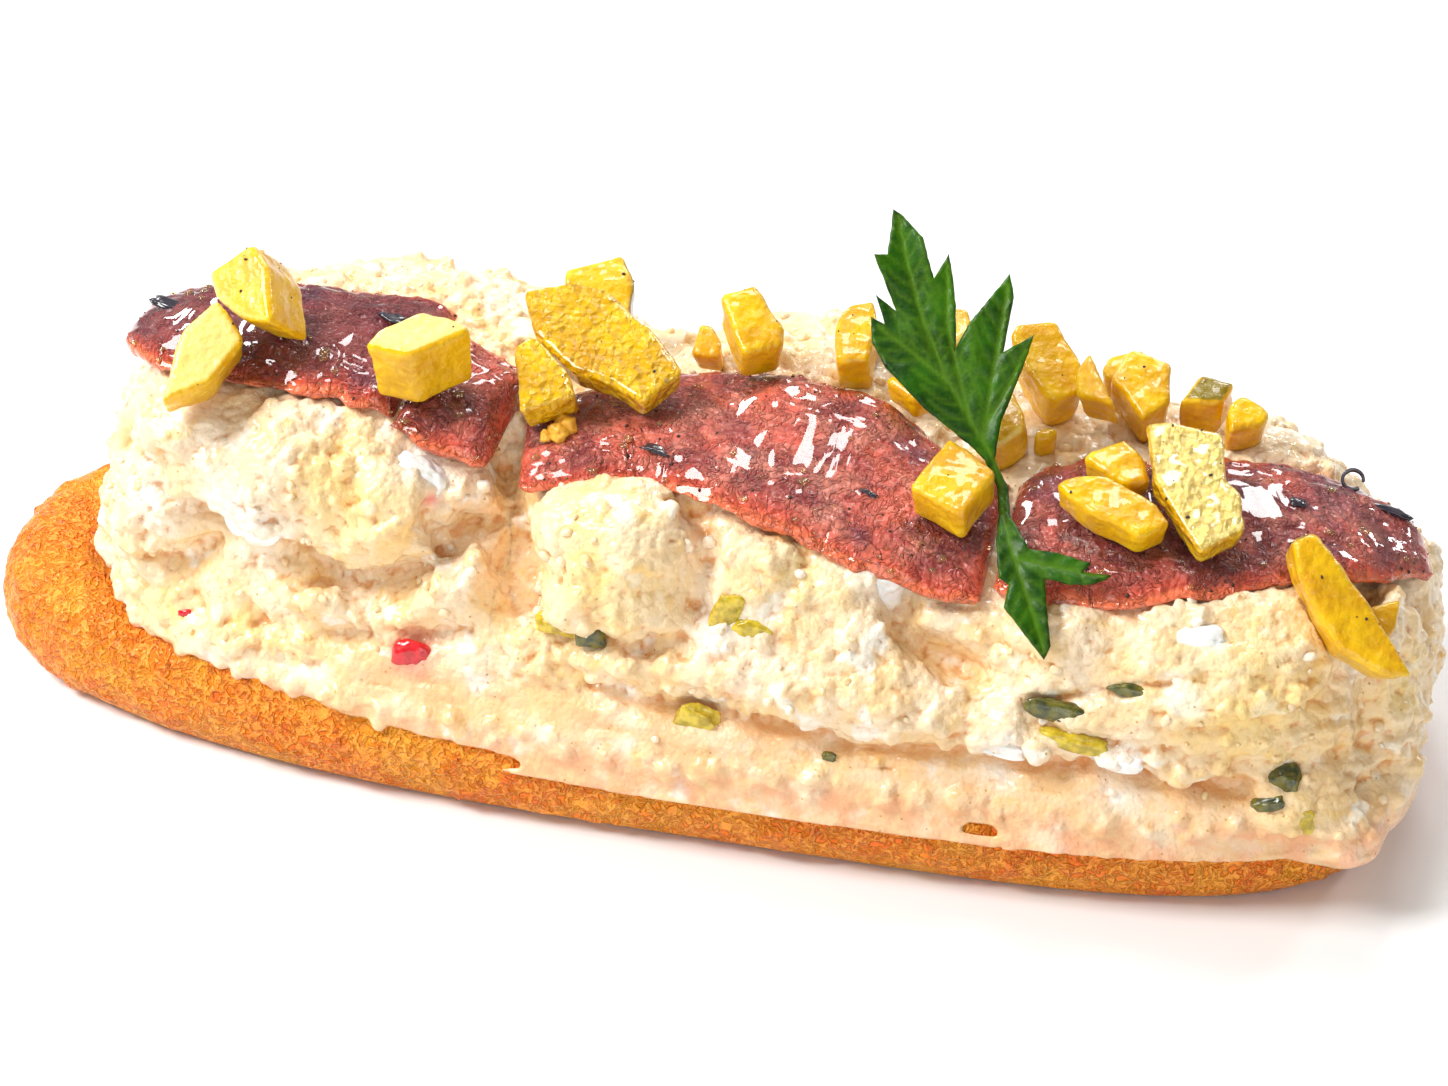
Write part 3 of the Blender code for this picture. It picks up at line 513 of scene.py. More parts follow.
def ball(rounds):
    """A unit ball of triangles."""
    shape = bmesh.new()
    bmesh.ops.create_icosphere(shape, subdivisions=rounds, radius=1.0)
    points = np.array([vertex.co for vertex in shape.verts])
    faces = np.array([[vertex.index for vertex in face.verts] for face in shape.faces])
    shape.free()
    return points, faces


def joined(parts):
    """Several lots of points and triangles as one lot."""
    points = np.concatenate([part[0] for part in parts])
    starts = np.cumsum([0] + [len(part[0]) for part in parts[:-1]])
    return points, np.concatenate([part[1] + start for part, start in zip(parts, starts)])


def lumps(centres, halves, dips, rounds, unevenness, seed, squareness=1.0):
    """Uneven balls: a unit ball's coordinates raised to the squareness, its radius varied
    by noise of two sizes, stretched by the half sizes, turned about Y by the dip and moved
    to each centre."""
    unit, faces = ball(rounds)
    parts = []
    for index, (centre, half, dip) in enumerate(zip(centres, halves, dips)):
        marks = unit + 7.0 * index + seed
        swell = 1.0 + unevenness * (soft_noise(marks, 0.9, seed) + 0.45 * soft_noise(marks, 0.35, seed))
        shape = signed_power(unit, squareness) * swell[:, None] * np.array(half)
        turn = math.radians(dip)
        x = shape[:, 0] * math.cos(turn) + shape[:, 2] * math.sin(turn)
        z = shape[:, 2] * math.cos(turn) - shape[:, 0] * math.sin(turn)
        parts.append((np.stack([x, shape[:, 1], z], axis=1) + np.array(centre), faces))
    return joined(parts)


def cad_solid(node):
    """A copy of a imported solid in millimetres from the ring's middle, its corners merged."""
    shape = bmesh.new()
    shape.from_mesh(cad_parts[node].data)
    bmesh.ops.remove_doubles(shape, verts=shape.verts, dist=2e-6)
    bmesh.ops.triangulate(shape, faces=shape.faces)
    shape.verts.index_update()
    points = np.array([vertex.co for vertex in shape.verts])
    faces = np.array([[vertex.index for vertex in face.verts] for face in shape.faces])
    shape.free()
    return (points - RING_MIDDLE) / MM, faces


def skin(points, faces, size):
    """The outer skin of overlapping solids as even quads of that size, by a voxel remesh."""
    mesh = bpy.data.meshes.new("draft")
    mesh.from_pydata(points.tolist(), [], faces.tolist())
    draft = bpy.data.objects.new("draft", mesh)
    bpy.context.scene.collection.objects.link(draft)
    remesh = draft.modifiers.new("skin", "REMESH")
    remesh.mode = "VOXEL"
    remesh.voxel_size = size
    done = draft.evaluated_get(bpy.context.evaluated_depsgraph_get()).to_mesh()
    new_points = np.empty(len(done.vertices) * 3)
    done.vertices.foreach_get("co", new_points)
    corners = np.empty(len(done.loops), dtype=np.int64)
    done.loops.foreach_get("vertex_index", corners)
    bpy.data.objects.remove(draft)
    bpy.data.meshes.remove(mesh)
    return new_points.reshape(-1, 3), corners.reshape(-1, 4)


def quad_edges(quads):
    """Each edge of the quads once."""
    pairs = np.concatenate([quads[:, [0, 1]], quads[:, [1, 2]], quads[:, [2, 3]], quads[:, [3, 0]]])
    return np.unique(np.sort(pairs, axis=1), axis=0)


def neighbour_mean(values, edges):
    """The mean of each point's neighbours."""
    count = np.bincount(edges.ravel(), minlength=len(values)).astype(float)
    total = np.zeros_like(values)
    for column in range(values.shape[1]):
        total[:, column] = np.bincount(edges[:, 0], values[edges[:, 1], column], len(values))
        total[:, column] += np.bincount(edges[:, 1], values[edges[:, 0], column], len(values))
    return total / np.maximum(count, 1.0)[:, None]


def relaxed(points, edges, rounds):
    """Points moved halfway to their neighbours' mean, that many times."""
    for _ in range(rounds):
        points = 0.5 * points + 0.5 * neighbour_mean(points, edges)
    return points


def quad_normals(points, quads):
    """Unit normals of the points: the cross products of the quads' diagonals, added up."""
    face = np.cross(points[quads[:, 2]] - points[quads[:, 0]], points[quads[:, 3]] - points[quads[:, 1]])
    normal = np.stack([sum(np.bincount(quads[:, corner], face[:, axis], len(points)) for corner in range(4))
                       for axis in range(3)], axis=1)
    return normal / np.maximum(np.linalg.norm(normal, axis=1, keepdims=True), 1e-12)


def line_distance(points, line):
    """Distance from each point to the nearest place on a line of straight pieces."""
    nearest = np.full(len(points), 1e9)
    for start, end in zip(np.array(line[:-1]), np.array(line[1:])):
        along = end - start
        share = np.clip((points - start) @ along / (along @ along), 0.0, 1.0)
        nearest = np.minimum(nearest, np.linalg.norm(points - start - share[:, None] * along, axis=1))
    return nearest


def run_along(line):
    """The length run from a line's start to each of its points."""
    return np.concatenate([[0.0], np.cumsum(np.linalg.norm(np.diff(line, axis=0), axis=1))])


def on_line(line, run, places):
    """Places on a line at those lengths along it, in the line's own two or three measures."""
    return np.stack([np.interp(places, run, line[:, axis]) for axis in range(line.shape[1])], axis=-1)


class HeightMap:
    """Heights of a solid's upper (or under) side over a grid of the plan, read by rays."""

    STEP = 0.6

    def __init__(self, solids, under=False):
        low = np.min([points.min(axis=0) for points, _ in solids], axis=0)[:2] - 2.0
        high = np.max([points.max(axis=0) for points, _ in solids], axis=0)[:2] + 2.0
        self.low = low
        self.counts = np.ceil((high - low) / self.STEP).astype(int) + 1
        self.heights = np.full(self.counts, np.nan)
        start, way, pick = (-50.0, 1.0, np.fmin) if under else (150.0, -1.0, np.fmax)
        for points, faces in solids:
            tree = BVHTree.FromPolygons(points.tolist(), faces.tolist())
            first = np.maximum(((points.min(axis=0)[:2] - low) / self.STEP).astype(int), 0)
            last = ((points.max(axis=0)[:2] - low) / self.STEP).astype(int) + 1
            for i in range(first[0], last[0] + 1):
                for j in range(first[1], last[1] + 1):
                    x, y = low + np.array([i, j]) * self.STEP
                    hit = tree.ray_cast(Vector((x, y, start)), Vector((0.0, 0.0, way)))[0]
                    if hit is not None:
                        self.heights[i, j] = pick(self.heights[i, j], hit.z)

    def spread(self, rounds):
        """Carries the heights past the solid's edge, each round by one cell."""
        for _ in range(rounds):
            padded = np.pad(self.heights, 1, constant_values=np.nan)
            around = np.stack([padded[i:i + self.counts[0], j:j + self.counts[1]]
                               for i in range(3) for j in range(3)])
            known = np.isfinite(around)
            mean = np.where(known, around, 0.0).sum(axis=0) / np.maximum(known.sum(axis=0), 1)
            fresh = np.isnan(self.heights) & known.any(axis=0)
            self.heights = np.where(fresh, mean, self.heights)
        return self

    def at(self, x, y, missing=np.nan):
        """Heights between the grid's own places."""
        filled = np.where(np.isnan(self.heights), missing, self.heights)
        column = (np.asarray(x) - self.low[0]) / self.STEP
        row = (np.asarray(y) - self.low[1]) / self.STEP
        i = np.clip(column.astype(int), 0, self.counts[0] - 2)
        j = np.clip(row.astype(int), 0, self.counts[1] - 2)
        u = np.clip(column - i, 0.0, 1.0)
        v = np.clip(row - j, 0.0, 1.0)
        near = filled[i, j] * (1 - v) + filled[i, j + 1] * v
        far = filled[i + 1, j] * (1 - v) + filled[i + 1, j + 1] * v
        return near * (1 - u) + far * u


FILLET_NODES = ("anchovy_left", "anchovy_left_tail", "anchovy_middle", "anchovy_right")
GHERKIN_NODES = [name for name in sorted(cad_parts) if name.startswith("gherkin_")]
cad_fillets = {name: cad_solid(name) for name in FILLET_NODES}
cad_gherkins = {name: cad_solid(name) for name in GHERKIN_NODES}
covers = HeightMap(list(cad_fillets.values()) + list(cad_gherkins.values()), under=True)

rng = np.random.default_rng(4)


def strewn(points, quads, wanted, count):
    """Places on a surface of quads and its normals there; each quad's chance is its area
    times what is wanted."""
    corners = points[quads]
    normal = np.cross(corners[:, 2] - corners[:, 0], corners[:, 3] - corners[:, 1])
    area = np.linalg.norm(normal, axis=1)
    chosen = rng.choice(len(quads), count, p=area * wanted / (area * wanted).sum())
    u, v = rng.random((2, count, 1))
    near = corners[chosen, 0] * (1.0 - u) + corners[chosen, 1] * u
    far = corners[chosen, 3] * (1.0 - u) + corners[chosen, 2] * u
    return near * (1.0 - v) + far * v, normal[chosen] / area[chosen, None]


def patches_at(points, patches):
    """How much of the patches lies at each point, fading with distance."""
    return np.max([np.exp(-(np.linalg.norm(points - centre, axis=-1) / reach) ** 2)
                   for centre, reach in patches], axis=0)


def swept_share(points):
    """1 on the band that was swept smooth just above the bread, fading upward."""
    low = smooth_rise(-points[:, 1], 12.0, 16.0) * smooth_rise(-points[:, 2], -15.5, -13.0)
    low *= smooth_rise(points[:, 0], -34.0, -26.0) * smooth_rise(-points[:, 0], -61.0, -57.0)
    return np.maximum(low, 0.4 * smooth_rise(-points[:, 2], -10.0, -8.0))


# The heap with its lumps and creases
potato = lumps(*zip(POTATO_PIECE), rounds=5, unevenness=0.09, seed=8, squareness=0.72)
heap_points, heap_faces = cad_solid("potato_salad")
heap = joined([(heap_points, heap_faces), (heap_points + HEAP_SHIFT, heap_faces),
               lumps(*zip(*LUMPS), rounds=4, unevenness=0.17, seed=3), potato])
points, quads = skin(*heap, MASH_COARSE)
normals = quad_normals(points, quads)
push = 0.75 * soft_noise(points, 5.5, 26) + 0.42 * soft_noise(points, 2.4, 27)
push *= 1.0 - 0.7 * swept_share(points)
push = np.where(push < 0.0, push * (0.15 + 0.85 * smooth_rise(points[:, 2], 10.0, 12.5)), push)
push -= (1.9 + 1.8 * smooth_rise(-points[:, 2], -16.0, -11.0)) * smooth_rise(-points[:, 0], 48.0, 57.0)
in_crease = np.zeros(len(points))
for depth, half_width, line in CREASES:
    nearness = line_distance(points, line) / (half_width * (1.0 + 0.3 * soft_noise(points, 2.0, 29)))
    push -= CREASE_PRESS * depth * np.exp(-nearness ** 2)
    in_crease = np.maximum(in_crease, np.exp(-(nearness / 1.4) ** 2))
push *= smooth_rise(points[:, 2], 6.2, 8.2)
push = np.where(push > 0.0, push * (0.3 + 0.7 * smooth_rise(points[:, 2], 8.4, 9.8)), push)
lip = smooth_rise(points[:, 2], 7.6, 8.6) * smooth_rise(-points[:, 2], -11.8, -9.8)
push += 0.12 * lip * smooth_rise(-points[:, 1], 9.0, 13.0)
underside = (normals[:, 2] < -0.15) & (points[:, 2] < 13.0) & (points[:, 2] > 5.5) & (points[:, 0] > -50.0)
push = np.where(underside, UNDERSIDE_PUSH, push)
points = points + normals * push[:, None]

# Crumbs over it, thick where it is torn and hardly any on the swept band
middles = points[quads].mean(axis=1)
wanted = smooth_rise(middles[:, 2], 8.6, 9.6) * np.isnan(covers.at(middles[:, 0], middles[:, 1]))
wanted *= 0.12 + 0.88 * smooth_rise(soft_noise(middles, 6.5, 21), -0.10, 0.35)
wanted *= (1.0 - 0.93 * swept_share(middles)) * (1.0 - 0.75 * in_crease[quads].mean(axis=1))
wanted *= 1.0 - 0.7 * smooth_rise(middles[:, 0], 28.0, 36.0) * smooth_rise(-middles[:, 1], 5.0, 10.0)
from_potato = np.linalg.norm((middles - POTATO_PIECE[0]) / POTATO_PIECE[1], axis=1)
wanted *= 1.0 - 0.8 * smooth_rise(-from_potato, -1.4, -1.2)
hem = smooth_rise(middles[:, 2], 8.3, 8.8) * smooth_rise(-middles[:, 2], -10.8, -10.0)
wanted = np.maximum(wanted, 0.45 * hem * smooth_rise(-middles[:, 1], 5.0, 9.0))
crumb_sizes = 0.30 + 0.95 * rng.random(CRUMBS) ** 2.4
crumb_centres, outward = strewn(points, quads, wanted, CRUMBS)
crumb_centres = crumb_centres - CRUMB_SINK * outward * crumb_sizes[:, None]
shelf = np.array(SHELF_EDGE)
along_shelf = rng.uniform(shelf[0, 0], shelf[-1, 0], HANGING_BITS)
hanging = on_line(shelf, shelf[:, 0], along_shelf)
hanging += rng.normal(0.0, (0.3, 0.4, 0.5), (HANGING_BITS, 3)) + (0.0, 0.5, 0.5)
crumb_centres = np.concatenate([crumb_centres, hanging])
crumb_sizes = np.concatenate([crumb_sizes, rng.uniform(0.5, 1.5, HANGING_BITS)])
crumb_halves = crumb_sizes[:, None] * rng.uniform(0.7, 1.25, (len(crumb_sizes), 3))
crumb_dips = rng.uniform(-60.0, 60.0, len(crumb_sizes))
crumbs = lumps(crumb_centres, crumb_halves, crumb_dips, rounds=2, unevenness=0.25, seed=5)
faces = np.concatenate([quads[:, :3], quads[:, [0, 2, 3]]])
points, quads = skin(*joined([(points, faces), crumbs]), MASH_GRAIN)

# The finished surface: granules, knife streaks on the swept band, and room for what covers it
edges = quad_edges(quads)
points = relaxed(points, edges, 1)
normals = quad_normals(points, quads)
swept = swept_share(points)
from_potato = np.linalg.norm((points - POTATO_PIECE[0]) / POTATO_PIECE[1], axis=1)
in_potato = smooth_rise(-from_potato, -1.35, -1.05)
grains = np.sqrt(np.clip(1.0 - (pebbles(points, 0.95, 34)[0] / 0.7) ** 2, 0.0, 1.0))
push = 0.24 * (grains - 0.6) * (1.0 - 0.55 * swept) + 0.12 * soft_noise(points, 1.4, 28)
streaky = np.maximum(swept, smooth_rise(points[:, 0], 28.0, 40.0) * smooth_rise(-points[:, 1], 8.0, 14.0))
streaked = points + 0.6 * soft_noise(points, 3.0, 39)[:, None]
push += 0.34 * streaky * soft_noise(streaked, (6.0, 1.4, 0.8), 22)
push -= 0.5 * in_potato * np.exp(-(pebbles(points, 2.8, 38)[0] / 0.16) ** 2)
push *= 0.4 + 0.6 * smooth_rise(points[:, 2], 9.0, 10.8)
push = np.where((push < 0.0) & (points[:, 2] < 11.5), 0.0, push)
points = points + normals * (push * smooth_rise(points[:, 2], 6.2, 8.2))[:, None]
ceiling = covers.at(points[:, 0], points[:, 1], missing=99.0)
near_top = (points[:, 2] > ceiling - COVER_GAP) & (points[:, 2] < ceiling + 6.0) & (ceiling < 60.0)
points[near_top, 2] = ceiling[near_top] - COVER_GAP
# How far each point lies in a crease or hollow; used only to paint shade there.
cavity = np.einsum("ij,ij->i", relaxed(points, edges, 8) - points, normals)
wide_cavity = np.einsum("ij,ij->i", relaxed(points, edges, 60) - points, normals)
hollow = np.clip(cavity / 0.26, -1.0, 1.0) + 0.35 * np.clip(wide_cavity / 0.9, 0.0, 1.0)

mash = Finish("potato_salad_mash", Specular_IOR_Level=0.5, Coat_Weight=0.5, Coat_Roughness=0.1,
              Subsurface_Weight=0.25, Subsurface_Scale=0.0008, Subsurface_Radius=(1.0, 0.75, 0.45))
cream = mash.layered(
    mash.mix(mash.spots(5.0, 3.0, 0.34, 0.66), rgb(251, 226, 192), rgb(246, 210, 152)),
    (mash.step(mash.noise(2.2, 4.0, distortion=0.5), 0.54, 0.72) * 0.6, (248, 204, 116)),
    (mash.spots(3.4, 2.0, 0.58, 0.70) * 0.8, (254, 247, 234)),
    (mash.attribute("yolk") * (0.35 + 0.5 * mash.noise(1.8, 3.0)), (252, 214, 112)),
    (mash.attribute("white") * 0.8, (252, 248, 244)),
    (mash.attribute("swept") * mash.spots(4.0, 3.0, 0.3, 0.7) * 0.9, (240, 190, 134)),
    (mash.attribute("hem") * mash.spots(2.4, 3.0, 0.36, 0.62) * 0.6, (242, 160, 112)),
    # painted shade: warm tan deep in the creases and hollows
    (mash.step(mash.attribute("hollow"), 0.12, 1.0) * 0.85, (230, 158, 80)),
    (mash.attribute("oily") * mash.spots(1.6, 3.0, 0.38, 0.62) * 0.65, (232, 150, 58)),
    (mash.attribute("rose") * 0.8, (236, 110, 110)),
    (mash.step(mash.cells(1.3), 0.12, 0.07) * mash.spots(6.0, 2.0, 0.46, 0.54) * 0.75, (196, 140, 30)))
mash.drive(Base_Color=cream, Roughness=0.24 + 0.3 * mash.noise(1.2, 3.0))
granules = mash.cells(0.62)
mash.drive(Normal=mash.bump(mash.noise(0.4, 4.0, distortion=0.3) + 0.7 * (1.0 - granules), 0.15))

low_front = smooth_rise(-points[:, 1], 12.0, 16.0) * smooth_rise(-points[:, 2], -10.5, -8.6)
near_hem = np.clip(low_front + 0.5 * smooth_rise(-points[:, 2], -9.0, -7.0), 0.0, 1.0)
mash_numbers = {kind: patches_at(points, patches) for kind, patches in MASH_PATCHES.items()}
mash_numbers.update(hollow=hollow, swept=swept, hem=near_hem)


def mash_part(name, keep):
    """The quads that are kept, as a piece of its own with its open side filled in."""
    used, faces = np.unique(quads[keep], return_inverse=True)
    made = piece(name, points[used], faces.reshape(-1, 4), mash, "potato_salad",
                 **{key: values[used] for key, values in mash_numbers.items()})
    shape = bmesh.new()
    shape.from_mesh(made.data)
    rim = [edge for edge in shape.edges if edge.is_boundary]
    for edge in rim:
        edge.smooth = False
    lids = bmesh.ops.holes_fill(shape, edges=rim, sides=0)["faces"]
    for face in bmesh.ops.triangulate(shape, faces=lids)["faces"]:
        face.smooth = False
    shape.to_mesh(made.data)
    shape.free()
    return made


middles = points[quads].mean(axis=1)
left, before = middles[:, 0] < MASH_SPLIT_X, middles[:, 1] < MASH_SPLIT_Y
mash_parts = [mash_part("potato_salad_" + name, keep) for name, keep in (
    ("front_left", left & before), ("front_right", ~left & before), ("back_left", left & ~before),
    ("back_right", ~left & ~before))]
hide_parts("potato_salad")

# ---------------------------------------------------------------------------------------
# Bits in the salad and loose grains on it.  Diced red pepper, pickle, olive and boiled
# egg white sit flush in the mash; grains of potato have dropped off and lie about.

BITS = (
    ("red_pepper", (-20.5, -22.5, 15.0), (1.9, 0.8, 1.3), 14.0),
    ("red_pepper", (-44.6, -18.4, 12.7), (0.7, 0.4, 0.5), 0.0),
    ("red_pepper", (-39.0, -19.6, 11.0), (0.8, 0.4, 0.4), 0.0),
    ("pickle_bit", (-6.0, -22.8, 20.1), (2.6, 0.9, 1.0), 8.0),
    ("pickle_bit", (9.6, -21.6, 24.4), (1.3, 0.8, 2.2), 20.0),
    ("pickle_bit", (12.2, -21.4, 23.6), (1.8, 0.7, 0.9), 10.0),
    ("pickle_bit", (7.6, -24.2, 13.0), (1.8, 0.6, 2.0), 24.0),
    ("pickle_bit", (42.4, -23.0, 16.9), (3.2, 0.7, 0.8), 6.0),
    ("pickle_bit", (62.4, -20.2, 10.6), (0.9, 0.5, 1.2), 0.0),
    ("olive_bit", (-2.6, -23.2, 20.3), (1.4, 0.7, 0.9), 0.0),
    ("olive_bit", (40.0, -22.2, 20.3), (2.9, 0.9, 1.0), 10.0),
    ("olive_bit", (46.6, -21.7, 22.3), (2.2, 0.6, 0.6), 6.0),
    ("olive_bit", (60.9, -20.9, 13.9), (1.4, 0.9, 1.9), -14.0),
    ("olive_bit", (59.6, -21.4, 12.0), (1.6, 0.6, 0.6), -20.0),
    ("olive_bit", (20.0, -24.5, 12.2), (0.7, 0.4, 0.6), 0.0),
    ("egg_white", (22.5, -16.3, 27.1), (3.0, 1.8, 2.0), 24.0),
    ("egg_white", (51.8, -18.4, 26.4), (2.2, 1.2, 1.2), 0.0),
    ("egg_white", (-20.5, -15.7, 31.0), (2.8, 1.4, 1.8), 20.0),
    ("egg_white", (35.3, -22.8, 15.4), (2.4, 0.9, 0.9), 4.0),
    ("egg_white", (46.1, -22.9, 15.1), (2.4, 0.8, 0.8), 4.0),
    ("egg_white", (-36.4, -19.4, 25.4), (2.6, 1.2, 2.0), -10.0),
)
BIT_COLOURS = {
    "red_pepper": ((196, 8, 22), (228, 30, 40)),
    "pickle_bit": ((178, 152, 10), (222, 196, 52)),
    "olive_bit": ((52, 62, 22), (112, 108, 30)),
    "egg_white": ((250, 246, 238), (255, 253, 250)),
}
BIT_SINK = 0.35                 # share of a bit's thinnest half that is sunk in the mash
LOOSE_GRAINS = 300

mash_tree = BVHTree.FromPolygons(points.tolist(), quads.tolist())
for kind, (deep, bright) in BIT_COLOURS.items():
    bit_finish = Finish(kind, Specular_IOR_Level=0.6, Roughness=0.2, Subsurface_Weight=0.3,
                        Subsurface_Scale=0.001, Coat_Weight=0.5)
    shades = bit_finish.mix(bit_finish.spots(0.9, 3.0, 0.35, 0.65), rgb(*deep), rgb(*bright))
    bit_finish.drive(Base_Color=shades, Normal=bit_finish.bump(bit_finish.noise(0.5, 3.0), 0.12))
    centres, halves, dips = zip(*(bit[1:] for bit in BITS if bit[0] == kind))
    seats = []
    for centre, half in zip(centres, halves):
        place, normal, *_ = mash_tree.find_nearest(Vector(centre))
        seats.append(np.array(place - normal * BIT_SINK * min(half)))
    bits, faces = lumps(seats, halves, dips, rounds=4, unevenness=0.3, seed=70, squareness=0.7)
    piece(kind + "_pieces", bits, faces, bit_finish, "potato_salad")

wanted = smooth_rise(middles[:, 2], 9.0, 10.0) * np.isnan(covers.at(middles[:, 0], middles[:, 1]))
wanted *= 1.0 - 0.9 * swept_share(middles)
grain_places = strewn(points, quads, wanted, LOOSE_GRAINS)[0] + (0.0, -0.05, 0.1)
grain_sizes = rng.uniform(0.22, 0.6, LOOSE_GRAINS)[:, None] * rng.uniform(0.7, 1.3, (LOOSE_GRAINS, 3))
grain_dips = rng.uniform(-80.0, 80.0, LOOSE_GRAINS)
grain_points, grain_faces = lumps(grain_places, grain_sizes, grain_dips, rounds=2, unevenness=0.3, seed=74)
piece("loose_potato_grains", grain_points, grain_faces, mash, "potato_salad",
      white=soft_noise(grain_points, 9.0, 75))

# ---------------------------------------------------------------------------------------
# Anchovy fillets.  Salt-cured strips with a soft grain along them, laid over the heap and
# wet with oil: brick-red rims, a purple-brown middle, here and there a scrap of skin.

FILLETS = {
    "anchovy_left": dict(
        line=((-53.5, -2.6), (-51.0, -3.0), (-46.5, -4.4), (-38.0, -5.4), (-30.0, -5.0), (-23.4, -5.6)),
        half_widths=(2.6, 4.8, 7.4, 8.8, 9.0, 8.4), thickness=2.4),
    "anchovy_left_tail": dict(
        line=((-22.6, -7.6), (-18.0, -8.6), (-14.2, -9.0)),
        half_widths=(7.0, 7.2, 6.0), thickness=2.0),
    "anchovy_middle": dict(
        line=((-12.4, -11.4), (-8.4, -10.6), (-3.6, -7.6), (2.0, -6.8), (8.0, -7.8), (19.0, -8.8),
              (27.0, -10.8), (32.0, -10.8)),
        half_widths=(4.4, 5.6, 7.6, 8.6, 9.2, 9.0, 8.0, 6.8), thickness=2.6),
    "anchovy_right": dict(
        line=((32.9, -10.0), (36.5, -10.0), (40.0, -9.0), (45.0, -8.6), (52.0, -6.4), (60.0, -2.8),
              (65.0, -0.6), (70.2, 1.0)),
        half_widths=(6.2, 8.0, 9.2, 9.6, 8.8, 7.8, 6.2, 2.8), thickness=2.4),
}
FILLET_STEP = 0.30              # distance between stations along a fillet
FILLET_ROUND = 120
FILLET_END = 0.9                # length over which an end thins out
FILLET_DARKNESS = {"anchovy_left": 1.2, "anchovy_left_tail": 0.4, "anchovy_middle": 0.0, "anchovy_right": 0.45}


def fillet_surface(line, half_widths, thickness, tops, seed):
    """A strip: a flat oval section (powers 1/2 and 3/4 of cosine and sine) carried along
    the line, each point raised to the height at which the fillet lies, and closed by
    letting the section thin out as a quarter circle over the last millimetre."""
    line = np.array(line)
    run = run_along(line)
    places = np.linspace(0.0, run[-1], int(run[-1] / FILLET_STEP))
    soft = np.linspace(0.0, run[-1], 4 * len(line))
    curve = on_line(line, run, soft)
    curve[1:-1] = 0.25 * curve[:-2] + 0.5 * curve[1:-1] + 0.25 * curve[2:]
    centre = on_line(curve, soft, places)
    along = np.gradient(centre, axis=0)
    along /= np.linalg.norm(along, axis=1, keepdims=True)
    side = np.stack([-along[:, 1], along[:, 0]], axis=1)
    angle = np.linspace(0.0, 2.0 * np.pi, FILLET_ROUND, endpoint=False)
    across = signed_power(np.cos(angle), 0.5)
    height = signed_power(np.sin(angle), 0.75)
    width = np.interp(places, run, half_widths)
    marks = np.stack([places, np.zeros_like(places), np.full_like(places, seed * 9.0)], axis=1)
    left = 1.0 + 0.05 * soft_noise(marks, 3.0, seed) + 0.03 * soft_noise(marks, 1.1, seed + 1)
    right = 1.0 + 0.05 * soft_noise(marks, 3.0, seed + 2) + 0.03 * soft_noise(marks, 1.1, seed + 3)
    edge = np.where(across[None, :] > 0.0, left[:, None], right[:, None])
    reach = width[:, None] * across[None, :] * edge
    plan = centre[:, None, :] + side[:, None, :] * reach[:, :, None]
    to_end = np.minimum(places, run[-1] - places)
    end = np.sqrt(np.clip(1.0 - (1.0 - np.minimum(to_end / FILLET_END, 1.0)) ** 2, 0.0, 1.0))[:, None]
    body = thickness * (0.45 + 0.55 * (1.0 - across ** 4))[None, :]
    middle = tops.at(plan[..., 0], plan[..., 1]) - body / 2.0
    z = middle - 0.1 * (1.0 - end) + height[None, :] * body / 2.0 * end
    grid = np.concatenate([plan, z[:, :, None]], axis=2)
    return grid, np.broadcast_to(places[:, None], reach.shape), reach


def fillet_relief(length, reach, share, seed):
    """A bead along the rims, grain along the fillet, soft dents and flat-faced puckers."""
    flat = np.stack([length, reach, np.full_like(reach, 5.0 * seed)], axis=2)
    fibre = soft_noise(flat + 0.4 * soft_noise(flat, 2.0, seed)[..., None], (7.0, 0.8, 1.0), seed + 1)
    dents = soft_noise(flat, 4.5, seed + 3)
    broad = pebbles(flat, (2.2, 1.5, 9.0), seed + 4)[0]
    small = pebbles(flat, (1.2, 0.9, 9.0), seed + 8)[0]
    bead = np.exp(-((share - 0.86) / 0.09) ** 2)
    return 0.06 * fibre + 0.34 * dents + 0.34 * (0.5 - broad) + 0.20 * (0.5 - small) + 0.20 * bead


def closed_strip(name, grid, **numbers):
    """The strip's grid as a closed piece: its two flat ends have their points merged."""
    rows, columns = grid.shape[:2]
    made = piece(name, grid.reshape(-1, 3), grid_quads(rows, columns, False, True), anchovy, "anchovy",
                 **{key: values.ravel() for key, values in numbers.items()})
    shape = bmesh.new()
    shape.from_mesh(made.data)
    bmesh.ops.remove_doubles(shape, verts=shape.verts, dist=4e-6)
    ends = [edge for edge in shape.edges if edge.is_boundary]
    bmesh.ops.holes_fill(shape, edges=ends, sides=0)
    bmesh.ops.recalc_face_normals(shape, faces=shape.faces)
    shape.to_mesh(made.data)
    shape.free()
    return made


